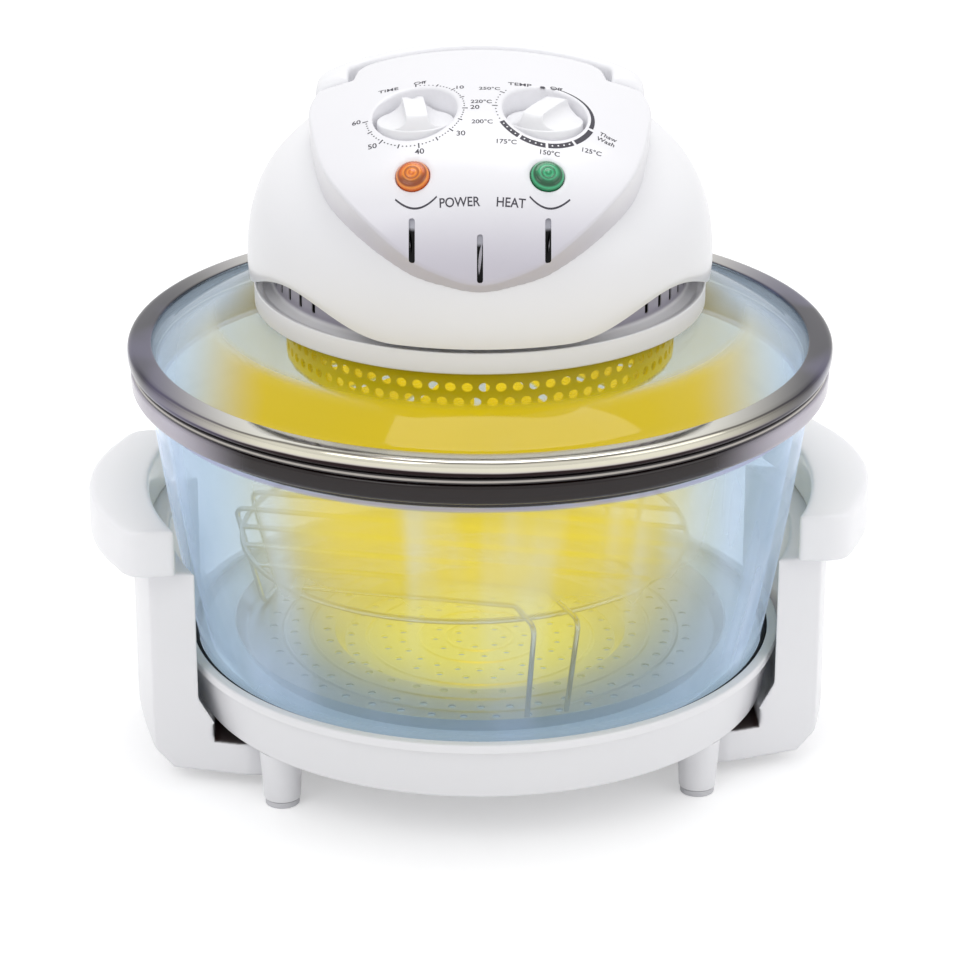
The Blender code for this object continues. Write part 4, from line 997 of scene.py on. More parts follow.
def make_grips(scene):
    inner_r = bowl_outer_r(grip_top_z) + 0.0085
    arc_r, reach, corner_r = 0.1200, 0.0302, 0.0160
    arc_x = inner_r + reach - arc_r
    swing = math.asin((grip_half_width - corner_r) / arc_r)
    outer = arc((arc_x, 0), arc_r, -swing, swing, 40)
    corner_in = math.sqrt(inner_r ** 2 - grip_half_width ** 2) - 0.0060
    front = curve_through([(corner_in + 0.012, -grip_half_width),
                           (outer[0][0] - corner_r * 0.55, 0.0010 - grip_half_width), outer[0], outer[1]], 8)[:-1]
    loop = [(corner_in, -grip_half_width)] + front + outer[2:-2] + [(x, -y) for x, y in reversed(front)] + [
        (corner_in, grip_half_width)]
    for name, angle in (("right", 0.0), ("left", math.pi)):
        grip = loose("grip", prism(bmesh.new(), loop, grip_low_z, grip_top_z))
        cut(grip, loose("hollow", turned([(0.0, 0.17), (inner_r, 0.17), (inner_r, 0.09), (0.0, 0.09)], 192)))
        rounded_block(grip, 0.0011, 34)
        grip.data.transform(Matrix.Rotation(stand_turn + angle, 4, "Z"))
        grip.name = f"grip_moulding_{name}"
        # The grips' white carries painted light, a little whiter than the other mouldings.
        surface = finish_named("grip_white", moulded_white, "grip_white", scene.oven_colours,
                               [(grip_painted_light, tone(250, 250, 253))])
        settle(grip, surface, "stand", f"grip_{name}", sharp=60.0)


# Bowl and what stands in it
def make_bowl(scene):
    heights = [bowl_wall_low_z + (bowl_rim_low_z - bowl_wall_low_z) * i / 14 for i in range(15)]
    outer = [(bowl_outer_r(z), z) for z in reversed(heights)]
    inner = [(bowl_outer_r(z) - bowl_wall, z) for z in heights[1:]]
    outline = profile(
        (bowl_neck_r - bowl_wall, bowl_rim_z, 0.0014), (bowl_rim_r, bowl_rim_z, 0.0020),
        (bowl_rim_r, bowl_rim_low_z + 0.0040, 0.0026), *outer,
        (bowl_heel_r - 0.0018, bowl_wall_low_z - 0.0035, 0.002), (bowl_heel_r - 0.0110, bowl_low_z, 0.003),
        (0.0, bowl_low_z), (0.0, bowl_floor_z), (bowl_heel_r - 0.0140, bowl_floor_z, 0.004), *inner)
    item = loose("clear_bowl", turned(outline, scene.oven_shapes.turns))
    settle(item, finish_named("bowl", bowl_glass, scene.oven_colours), "bowl", "glass_bowl")


def sheet_bands(scene, surface, height_at, bands, sheet):
    """Rings of round holes in a flat sheet: (middle radius, half width, holes, first angle)."""
    work = bmesh.new()
    hole = scene.oven_shapes.tray_hole
    for middle, half, count, first in bands:
        def spot(across, up, down, middle=middle):
            angle = across / middle
            radius = middle + up
            return Vector((radius * math.cos(angle), radius * math.sin(angle), height_at(radius) - down))
        one = tile(2 * math.pi * middle / count, 2 * half, hole, hole, spot, sheet, True)
        absorb(work, repeated(one, count, first, 2 * math.pi / count, surface))
    return work


def make_tray(scene):
    """The perforated tray: a sunk centre, a raised shelf with embossed rings and a turned-up rim."""
    colours = scene.oven_colours
    surface = finish_named("tray", sheet_steel, "tray_steel", colours.steel, colours.glow, 0.108)
    sheet = 0.0010
    floor_top, shelf_top = dish_low_z + sheet, dish_low_z + 0.0060 + sheet
    bands = [(0.1060, 0.0028, 42, 0.00), (0.0955, 0.0028, 42, 0.08), (0.0785, 0.0025, 34, 0.05),
             (0.0665, 0.0025, 34, 0.14), (0.0490, 0.0028, 22, 0.00), (0.0400, 0.0028, 22, 0.14),
             (0.0230, 0.0028, 12, 0.10), (0.0120, 0.0028, 7, 0.00)]
    work = sheet_bands(scene, surface, lambda radius: shelf_top if radius > 0.0720 else floor_top, bands, sheet)
    steps = 120
    gaps = [(0.0, 0.0092, floor_top), (0.0148, 0.0202, floor_top), (0.0258, 0.0372, floor_top),
            (0.0428, 0.0462, floor_top), (0.0518, 0.0640, floor_top), (0.0810, 0.0927, shelf_top),
            (0.0983, 0.1032, shelf_top)]
    for inner, outer, top in gaps:
        middle = (inner + outer) / 2
        if outer - inner > 0.004 and inner:
            crest = [(middle + 0.0012, top, 0.0005), (middle, top + 0.0007, 0.0006), (middle - 0.0012, top, 0.0005)]
        else:
            crest = []
        turned(profile((inner, top - sheet), (outer, top - sheet), (outer, top), *crest, (inner, top)), steps,
               work=work)
    turned(profile((0.0690, floor_top - sheet), (0.0700, floor_top - sheet, 0.001),
                   (0.0752, shelf_top - sheet, 0.001),
                   (0.0760, shelf_top - sheet), (0.0760, shelf_top), (0.0746, shelf_top, 0.001),
                   (0.0694, floor_top, 0.001), (0.0690, floor_top)), steps, work=work)
    turned(profile((0.1088, shelf_top - sheet), (dish_r - 0.0050, shelf_top - sheet, 0.003),
                   (dish_r, shelf_top + 0.0080, 0.0004), (dish_r - sheet, shelf_top + 0.0080, 0.0004),
                   (dish_r - 0.0062, shelf_top, 0.003), (0.1088, shelf_top)), steps, work=work)
    settle(loose("steel_tray", work), surface, "dish", "perforated_tray")


def rack_path(number):
    """One wire in the rack's own frame; the outer ones and two middle ones run on past the ring as legs."""
    offset = rack_r * (2 * (number + 1) / 10 - 1)
    half = math.sqrt(rack_r ** 2 - offset ** 2)
    wire_z = rack_z + rack_wire_r
    foot_r, leg_top_r, leg_side_r = dish_r - 0.0100, rack_r + 0.0150, rack_r + 0.0080
    foot_z = dish_shelf_z + seat_gap + rack_wire_r
    left, right = [(-half, offset, wire_z)], [(half, offset, wire_z)]
    from_edge = min(number, 8 - number)
    if from_edge < 2:
        side = math.copysign(1, offset)
        angle = side * (math.radians(57.5) + math.radians(5.1) * (1 - 2 * from_edge))
        if side < 0:
            foot_z -= rack_wire_r * 0.65
        right = [(0.0447 + 0.0102 * from_edge, offset, wire_z),
                 (leg_top_r * math.cos(angle), leg_top_r * math.sin(angle), wire_z),
                 (foot_r * math.cos(angle), foot_r * math.sin(angle), foot_z)]
    elif number - 4 in (0, 1):
        reach = math.sqrt(leg_side_r ** 2 - offset ** 2)
        share = (dish_r - 0.0190) / leg_side_r
        left = [(-reach * share, offset * share, foot_z), (-reach, offset, wire_z)]
    return [rack_frame @ Vector(point) for point in left + right]


def make_rack(scene):
    colours = scene.oven_colours
    surface = finish_named("wire", sheet_steel, "bright_wire", tuple(c * 1.15 for c in colours.steel),
                           colours.glow * 0.5, 0.125, 0.16)
    work = bmesh.new()
    circle = [rack_frame @ Vector((x, y, rack_z)) for x, y in arc((0, 0), rack_r, 0, 2 * math.pi, 120)[:-1]]
    swept(work, circle, rack_wire_r, 10, True)
    wire_r = rack_wire_r - 0.0001
    paths = [rack_path(number) for number in range(9)]
    chains = [(paths[8] + paths[7][::-1], 0.0045), (paths[4][::-1] + paths[5], 0.0040)]
    chains += [(paths[number], 0.0045) for number in (0, 1, 2, 3, 6)]
    for chain, bend_r in chains:
        swept(work, softened(chain, [bend_r] * len(chain), False, 6), wire_r)
    settle(loose("rack_wires", work), surface, "rack", "wire_rack", sharp=50.0)


# Lid
def make_hoop(scene):
    steps = scene.oven_shapes.turns
    lip, inner, channel = band_r - 0.0095, band_r - 0.0120, glass_edge_r + seat_gap
    flange_z = glass_low_z + glass_thickness
    outline = profile(
        (inner, band_top_z, 0.0010), (band_r, band_top_z, 0.0034), (band_r, band_low_z, 0.0034), (lip, band_low_z),
        (lip, band_low_z + 0.0018), (channel, band_low_z + 0.0018), (channel, flange_z + seat_gap),
        (inner, flange_z + seat_gap))
    item = loose("hoop_metal", turned(outline, steps))
    settle(item, finish_named("hoop", hoop_chrome, scene.oven_colours), "lid", "lid_band", sharp=40.0)
    low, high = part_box("lid_gasket")[0].z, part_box("lid_gasket")[1].z
    inner, outer = bowl_rim_r - 0.0128, bowl_rim_r - 0.0005
    outline = profile((inner, high, 0.0006), (outer, high, 0.0008), (outer, low, 0.0008), (inner, low, 0.0006))
    gasket = finish_named("gasket", clear_gasket, scene.oven_colours)
    settle(loose("gasket_ring", turned(outline, steps)), gasket, "lid", "lid_gasket")


def clear_gasket(colours):
    """The seal between hoop and bowl: dark, with a painted highlight line on its edge."""
    made = Finish("gasket_rubber", specular_ior_level=0.5)
    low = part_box("lid_gasket")[0].z
    # Painted highlight: a bright line along the edge.
    line = made.rise(made.z, low + 0.0008, low + 0.0012) * made.fall(made.z, low + 0.0018, low + 0.0023)
    dark = made.mix(made.noise(60.0), tone(26, 20, 22), tone(44, 36, 38))
    made.set("Base Color", made.mix(line * 0.75, dark, tone(204, 198, 190)))
    made.set("Roughness", 0.28 + made.noise(200.0) * 0.1)
    return made


def make_lid_glass(scene):
    flange_z = glass_low_z + glass_thickness
    shares = [i / 16 for i in range(17)]
    slope = [(glass_bend_r + (glass_hole_r - glass_bend_r) * s, flange_z + glass_rise * math.sin(s * math.pi / 2))
             for s in shares]
    outline = profile(*reversed(slope), (glass_edge_r, flange_z, 0.001), (glass_edge_r, glass_low_z, 0.001),
                      *[(radius, z - glass_thickness) for radius, z in slope])
    item = loose("clear_lid", turned(outline, scene.oven_shapes.turns))
    settle(item, finish_named("lid", lid_glass_finish, scene.oven_colours), "lid", "lid_glass")


def make_head_base(scene):
    wall_in, flange_r = vent_wall_r - shell, dome_r - shell - 0.0008
    plate_low, hole_r = ring_low_z + 0.0014, 0.0045
    outline = profile(
        (wall_in, vent_top_z + shell), (flange_r, vent_top_z + shell, 0.0005), (flange_r, vent_top_z, 0.0005),
        (vent_wall_r, vent_top_z, 0.0005), (vent_wall_r, ring_top_z + 0.0004, 0.0030),
        (ring_r - 0.0042, ring_top_z - 0.0014, 0.0012), (ring_r - 0.0014, ring_top_z, 0.0006),
        (ring_r, ring_top_z, 0.0007), (ring_r, ring_low_z, 0.0012), (glass_hole_r + 0.0010, ring_low_z, 0.0005),
        (glass_hole_r + 0.0004, plate_low), (hole_r, plate_low), (hole_r, plate_low + shell),
        (wall_in, plate_low + shell))
    base = loose("head_ring", turned(outline, scene.oven_shapes.turns))
    # The ring's white carries painted shadow on the recess and painted shade inside the vent wall.
    surface = finish_named("ring_white", moulded_white, "ring_white", scene.oven_colours,
                           [(recess_shade, tone(150, 146, 160)), (inside_shade, tone(12, 10, 12))])
    pitch, middle = math.radians(6.4), math.radians(26.0)
    low, high = ring_top_z + 0.0030, vent_top_z - 0.0012
    groups = bmesh.new()
    for side in (0.0, math.pi):
        for end in (-1, 1):
            loop = [(low, -0.00135), (high, -0.00135), (high, 0.00135), (low, 0.00135)]
            ends = [[(radius, y, z) for z, y in [tuple(p) for p in softened(loop, [0.0013] * 4)]]
                    for radius in (wall_in - shell, vent_wall_r + shell)]
            slot = bmesh.new()
            rows = [[slot.verts.new(p) for p in row] for row in ends]
            strip(slot, *rows)
            slot.faces.new(rows[0])
            slot.faces.new(rows[1])
            absorb(groups, repeated(slot, 5, side + end * middle - pitch * 2, pitch, surface))
    cut(base, loose("slots", groups))
    settle(base, surface, "lid", "head_base")


def edge_wave(angle):
    """Rise of the dome's lower edge: it lifts over each group of vents."""
    share = (abs(math.remainder(angle, math.pi)) - math.radians(36.0)) / math.radians(33.0)
    return 0.0150 * math.cos(share * math.pi / 2) ** 2 if abs(share) < 1 else 0.0


def make_dome(scene):
    steps = 240
    rows = []
    for grow in (0.0, -shell):
        shares = [math.cos(i / 30 * math.pi / 2) ** (2 / dome_power) for i in range(31)]
        curve = [((dome_r + grow) * s, dome_z((dome_r + grow) * s, grow)) for s in shares[:-1]]
        edge = [(dome_r - 0.0010 + grow, dome_edge_z + 0.0006), (dome_r - 0.0005 + grow, dome_edge_z + 0.0040)]
        rows.append(edge + curve + [(0.0, dome_z(0.0, grow))])
    outline = rows[0] + rows[1][::-1]
    work = cleaned(turned(outline, steps))
    for vert in work.verts:
        share = (dome_foot_z + 0.012 - vert.co.z) / (dome_foot_z + 0.012 - dome_edge_z)
        if share > 0:
            vert.co.z += edge_wave(math.atan2(vert.co.y, vert.co.x)) * min(share, 1.0)
    dome = loose("head_shell", work)
    plane = Matrix.Translation(panel_centre) @ Matrix.Rotation(panel_tilt, 4, "X")
    opening = loose("opening", prism(bmesh.new(), inset_clean(panel_loop(), 0.0055), -0.06, 0.06, plane))
    gland = Matrix.Translation((0, 0, gland_z)) @ Matrix.Rotation(-math.pi / 2, 4, "X")
    circle = arc((0, 0), outlet_r + seat_gap, 0, 2 * math.pi, 48)[:-1]
    hole = loose("hole", prism(bmesh.new(), circle, 0.085, 0.14, gland))
    cut(dome, opening, hole)
    settle(dome, white_finish(scene), "lid", "head_dome", sharp=38.0)


# Control panel
def panel_loop():
    """The shield shape in the panel's own tilted plane, counter-clockwise from its tip."""
    right = curve_through([(0.0, panel_tip), (0.0143, panel_tip + 0.0021)] + panel_shoulder, 6,
                          (-0.0143, panel_tip + 0.0021))
    rear = [panel_notch] + curve_through(panel_rear + [(0.0, panel_back)], 6, None)
    half = right + rear
    radii = [0.0] * len(half)
    radii[len(right) - 1] = 0.0024
    radii[len(right)] = 0.0020
    soft = [tuple(p) for p in softened(half, radii, False, 6)]
    loop = soft + [(-x, y) for x, y in reversed(soft[1:-1])]
    return evenly(loop, 0.0016)


def on_crown(point, drop=0.0):
    """A point of the tilted plane carried onto the crown."""
    start = panel_centre + Vector((point[0], 0, 0)) + panel_up * point[1]

    def above(t):
        p = start + panel_out * t
        return p.z > crown_z(p.x, p.y)
    return start + panel_out * (solve(above, -0.09, 0.05) - drop)


def in_plane(point):
    """A place in the panel's tilted plane."""
    rest = point - panel_centre
    return Vector((rest.x, rest.dot(panel_up)))


def down_to_dome(point):
    """Where the panel's wall meets the dome, straight down from a point on its edge."""
    for i in range(1, 121):
        p = point - panel_out * (i * 0.0005)
        if p.z < dome_z(math.hypot(p.x, p.y), 0.0006) and math.hypot(p.x, p.y) < dome_r:
            return p
    return point - panel_out * 0.03


def round_hole(axis, radius, drop, angle, lift=0.0):
    """A point beside a round hole's axis, taken down from the crown."""
    spot = Vector((radius * math.cos(angle), radius * math.sin(angle), 0))

    def above(s):
        p = axis @ (spot + Vector((0, 0, s)))
        return p.z > crown_z(p.x, p.y)
    return axis @ (spot + Vector((0, 0, solve(above, -0.03, 0.03) - drop)))


def slot_loop(x, low, high, depth):
    """A slot's outline on the crown, moved inward from its face by depth."""
    half = slot_width / 2
    plan = softened([(-half, low), (half, low), (half, high), (-half, high)], [half * 0.9] * 4, True, 6)
    return [Vector((x + p.x, crown_y(x + p.x, p.y) + depth, p.y)) for p in evenly(plan, 0.0007)]


def make_panel(scene):
    shapes = scene.oven_shapes
    rounding = shapes.edge
    loop = panel_loop()
    work = bmesh.new()
    rim_loops = []
    for i in range(6):
        angle = math.pi / 2 * i / 5
        rim_loops.append([on_crown(p, rounding * (1 - math.cos(angle)))
                          for p in inset(loop, rounding * (1 - math.sin(angle)))])
    foot = [down_to_dome(p) for p in rim_loops[-1]]
    rows = [[work.verts.new(p) for p in row] for row in rim_loops + [foot]]
    for first, second in zip(rows, rows[1:]):
        strip(work, first, second)
    edges = [[in_plane(p) for p in rim_loops[0]]]
    for side in (-1, 1):
        axis = dial_frame(side)
        angles = [2 * math.pi * k / 96 for k in range(96)]
        rings = [[round_hole(axis, well_r + out, down, a) for a in angles]
                 for out, down in ((0.0014, 0.0), (0.0008, 0.00018), (0.0003, 0.0006), (0.0, 0.0014))]
        bottom = [(well_r, well_floor + 0.0014), (well_r - 0.0004, well_floor + 0.0004),
                  (well_r - 0.0014, well_floor), (0.0036, well_floor)]
        rings += [[axis @ Vector((r * math.cos(a), r * math.sin(a), z)) for a in angles] for r, z in bottom]
        rows = [[work.verts.new(p) for p in ring] for ring in rings]
        for first, second in zip(rows, rows[1:]):
            strip(work, first, second)
        edges.append([in_plane(p) for p in rings[0]])
    for side in (-1, 1):
        axis = crown_frame(side * lamp_x, lamp_y)
        angles = [2 * math.pi * k / 56 for k in range(56)]
        rings = [[round_hole(axis, lens_r + out, down, a) for a in angles]
                 for out, down in ((0.0011, 0.0), (0.0006, 0.0002), (0.0003, 0.0006), (0.0003, 0.0040),
                                   (-0.0028, 0.0043))]
        rows = [[work.verts.new(p) for p in ring] for ring in rings]
        for first, second in zip(rows, rows[1:]):
            strip(work, first, second)
        edges.append([in_plane(p) for p in rings[0]])
    fill_face(work, edges, shapes.mesh_step)
    bmesh.ops.remove_doubles(work, verts=work.verts, dist=weld)
    bmesh.ops.holes_fill(work, edges=[edge for edge in work.edges if edge.is_boundary], sides=4)
    panel = loose("panel_shell", work)
    aim(panel)
    wall = panel.modifiers.new("wall", "SOLIDIFY")
    wall.thickness = 0.0020
    wall.offset = -1.0
    applied(panel)
    bearing = Matrix.Translation((0, pivot_y, pivot_z)) @ Matrix.Rotation(math.pi / 2, 4, "Y")
    tools = [loose("bearing", prism(bmesh.new(), arc((0, 0), 0.0030, 0, 2 * math.pi, 32)[:-1], -0.08, 0.08,
                                    bearing))]
    # Shallow grooves whose floors carry the slots' painted shade.
    for x, low, high in slots:
        groove = bmesh.new()
        ends = [[groove.verts.new(p) for p in slot_loop(x, low, high, depth)] for depth in (-0.0030, 0.0017)]
        strip(groove, *ends)
        for row in ends:
            groove.faces.new(row)
        for face in groove.faces:
            face.material_index = 1
        tools.append(loose("groove", groove))
    # The panel's white carries painted shade, darkest at the low tip.
    white = finish_named("panel_white", moulded_white, "panel_white", scene.oven_colours,
                         [(panel_shade, tone(196, 192, 204))])
    surface = [white, finish_named("slot", slot_shade, scene.oven_colours)]
    for one in surface:
        panel.data.materials.append(one)
    cut(panel, *tools)
    settle(panel, surface, "lid", "control_panel", sharp=30.0)


def aim(item):
    """Turns an open shell so that its widest part faces up."""
    total = sum(face.normal.z * face.area for face in item.data.polygons)
    if total < 0:
        item.data.flip_normals()


def fill_face(work, edges, spacing):
    """Fills the crown inside the first loop and outside the others with an even triangle mesh."""
    points, links = [], []
    for loop in edges:
        start = len(points)
        points += [Vector(p) for p in loop]
        links += [(start + i, start + (i + 1) % len(loop)) for i in range(len(loop))]
    outer, holes = edges[0], edges[1:]
    margin = spacing * 0.45
    borders = [Vector(p) for p in points]
    buckets = {}
    for p in borders:
        buckets.setdefault((int(p.x // spacing), int(p.y // spacing)), []).append(p)
    row = 0
    v = -0.1
    while v < 0.07:
        u = -0.085 + (row % 2) * spacing / 2
        while u < 0.085:
            p = Vector((u, v))
            cell = (int(u // spacing), int(v // spacing))
            near = [q for dx in (-1, 0, 1) for dy in (-1, 0, 1)
                    for q in buckets.get((cell[0] + dx, cell[1] + dy), [])]
            if (all((p - q).length > margin for q in near) and inside(p, outer)
                    and not any(inside(p, hole) for hole in holes)):
                points.append(p)
            u += spacing
        v += spacing * 0.87
        row += 1
    found = delaunay_2d_cdt(points, links, [], 0, 1e-7)
    flat, faces = found[0], found[2]
    verts = [None] * len(flat)
    for face in faces:
        a, b, c = (flat[i] for i in face)
        if abs((b - a).cross(c - a)) < least_area:
            continue
        centre = sum((flat[i] for i in face), Vector((0, 0))) / len(face)
        if not inside(centre, outer) or any(inside(centre, hole) for hole in holes):
            continue
        for i in face:
            if verts[i] is None:
                verts[i] = work.verts.new(on_crown(flat[i]))
        work.faces.new([verts[i] for i in face])


# Dials, lamps and print
def knob_height(x, y, radius, notch):
    """Height of a knob's top: a tall bar from front to back with hollow flanks, and a low disc each side."""
    top, half, flare = 0.0075, 0.0050, 0.0075
    reach = min(math.hypot(x, y) / radius, 1.0)
    side = min(max(abs(x) - half, 0.0) / flare, 1.0)
    flank = top * (1 - side ** 0.42) ** 1.4
    past = max(reach - 0.80, 0.0) / 0.20
    end = top * max(1 - past ** 3.0, 0.0) ** 0.7
    soft = 0.0006
    joined = -soft * math.log(math.exp(-flank / soft) + math.exp(-end / soft))
    if notch and y > 0:
        joined -= 0.0016 * math.exp(-(x / 0.0013) ** 2) * min(max((y / radius - 0.62) / 0.2, 0.0), 1.0)
    return max(joined, 0.0) - 0.0006 * reach ** 2


def make_knob(scene, side, turn, notch, name, body, node):
    rim = 0.0007
    radius = knob_r - rim
    matrix = dial_frame(side) @ Matrix.Rotation(turn, 4, "Z")
    half_columns = [0.0, 0.07, 0.14, 0.20, 0.24, 0.265, 0.285, 0.30, 0.315, 0.335, 0.36, 0.39, 0.43, 0.48, 0.54,
                    0.61,
                    0.69, 0.78, 0.86, 0.92, 0.96, 0.985, 0.997, 1.0]
    columns = [-c for c in reversed(half_columns[1:])] + half_columns
    rows_y = [math.sin(math.pi / 2 * (2 * i / 44 - 1)) for i in range(45)]
    work = bmesh.new()
    grid = []
    for share in columns:
        x = share * radius
        chord = math.sqrt(max(radius ** 2 - x ** 2, 0.0))
        grid.append([work.verts.new(matrix @ Vector((x, chord * t, knob_height(x, chord * t, radius, notch))))
                     for t in rows_y])
    for first, second in zip(grid, grid[1:]):
        strip(work, first, second, False)
    ring = [(share * radius, -math.sqrt(max(radius ** 2 - (share * radius) ** 2, 0.0))) for share in columns]
    ring += [(x, -y) for x, y in reversed(ring[1:-1])]
    rows = []
    for out, drop in ((0.0, 0.0), (rim * 0.55, rim * 0.2), (rim * 0.88, rim * 0.55), (rim, rim), (rim, 0.0057),
                      (rim - 0.0006, 0.0063)):
        row = []
        for x, y in ring:
            scale = (radius + out) / radius
            height = knob_height(x, y, radius, notch) - drop if drop < 0.003 else -drop
            row.append(work.verts.new(matrix @ Vector((x * scale, y * scale, height))))
        rows.append(row)
    for first, second in zip(rows, rows[1:]):
        strip(work, first, second)
    work.faces.new(rows[-1])
    settle(loose(name, work), white_finish(scene), body, node, sharp=44.0)


def make_lens(scene, side, name, node, deep, bright):
    top = 0.0036
    heights = [(0.0, 1.0), (0.10, 1.0), (0.20, 0.96), (0.27, 0.93), (0.30, 0.87), (0.34, 0.93), (0.50, 0.86),
               (0.58, 0.80), (0.62, 0.70), (0.68, 0.72), (0.80, 0.60), (0.90, 0.42), (0.97, 0.22), (1.0, 0.0)]
    outline = [(lens_r * share, top * height) for share, height in heights[::-1]]
    outline = [(lens_r, -0.0040)] + outline + [(0.0, -0.0040)]
    item = loose(name, turned(outline, 96, crown_frame(side * lamp_x, lamp_y)))
    settle(item, finish_named(name, lens_finish, name, side, deep, bright), "lid", node, sharp=70.0)


def make_lenses(scene):
    make_lens(scene, -1, "amber_cap", "power_lens", tone(204, 92, 6), tone(240, 142, 34))
    make_lens(scene, 1, "green_cap", "heat_lens", tone(0, 112, 66), tone(52, 178, 122))


def make_knobs(scene):
    make_knob(scene, -1, math.radians(5.0), True, "timer_grip", "timer_dial", "timer_knob")
    make_knob(scene, 1, math.radians(-24.0), False, "thermostat_grip", "thermostat_dial", "thermostat_knob")


def laid(x, y):
    """A point of print, just proud of the crown."""
    return Vector((x, y, crown_z(x, y) + print_lift))


def spot_print(work, x, y, radius):
    axis = crown_frame(x, y)
    loop = []
    for k in range(12):
        p = axis @ Vector((radius * math.cos(math.pi * k / 6), radius * math.sin(math.pi * k / 6), 0))
        loop.append(work.verts.new(laid(p.x, p.y)))
    work.faces.new(loop)


def line_print(work, points, widths):
    """A band of print along a chain of plan points, with its width at each."""
    rows = []
    for i, here in enumerate(points):
        here = Vector(here)
        along = Vector(points[min(i + 1, len(points) - 1)]) - Vector(points[max(i - 1, 0)])
        across = Vector((-along.y, along.x)).normalized() * widths[i] / 2
        rows.append([work.verts.new(laid(*(here + across))), work.verts.new(laid(*(here - across)))])
    for a, b in zip(rows, rows[1:]):
        work.faces.new((a[0], a[1], b[1], b[0]))


def on_scale(side, radius, degrees):
    """A place on a dial's scale, clockwise from the back."""
    angle = math.radians(degrees)
    return (side * dial_x + radius * math.sin(angle), dial_y - 0.0009 + radius * math.cos(angle))


def letter_print(work, words, x, y, height, width=None, turn=0.0):
    """Words laid on the crown round a centre, by letter height or by whole width."""
    curve = bpy.data.curves.new("words", "FONT")
    curve.body = words
    curve.size = 1.0
    curve.offset = 0.012
    item = bpy.data.objects.new("words", curve)
    bpy.context.scene.collection.objects.link(item)
    bpy.context.view_layer.update()
    mesh = bpy.data.meshes.new_from_object(item.evaluated_get(bpy.context.evaluated_depsgraph_get()))
    bpy.data.objects.remove(item, do_unlink=True)
    xs, ys = [v.co.x for v in mesh.vertices], [v.co.y for v in mesh.vertices]
    middle = Vector(((min(xs) + max(xs)) / 2, (min(ys) + max(ys)) / 2, 0))
    scale = height / 0.70
    stretch = (width / ((max(xs) - min(xs)) * scale)) if width else 1.0
    axis = crown_frame(x, y) @ Matrix.Rotation(turn, 4, "Z")
    for vert in mesh.vertices:
        p = axis @ Vector(((vert.co.x - middle.x) * scale * stretch, (vert.co.y - middle.y) * scale, 0))
        vert.co = laid(p.x, p.y)
    work.from_mesh(mesh)
    bpy.data.meshes.remove(mesh)


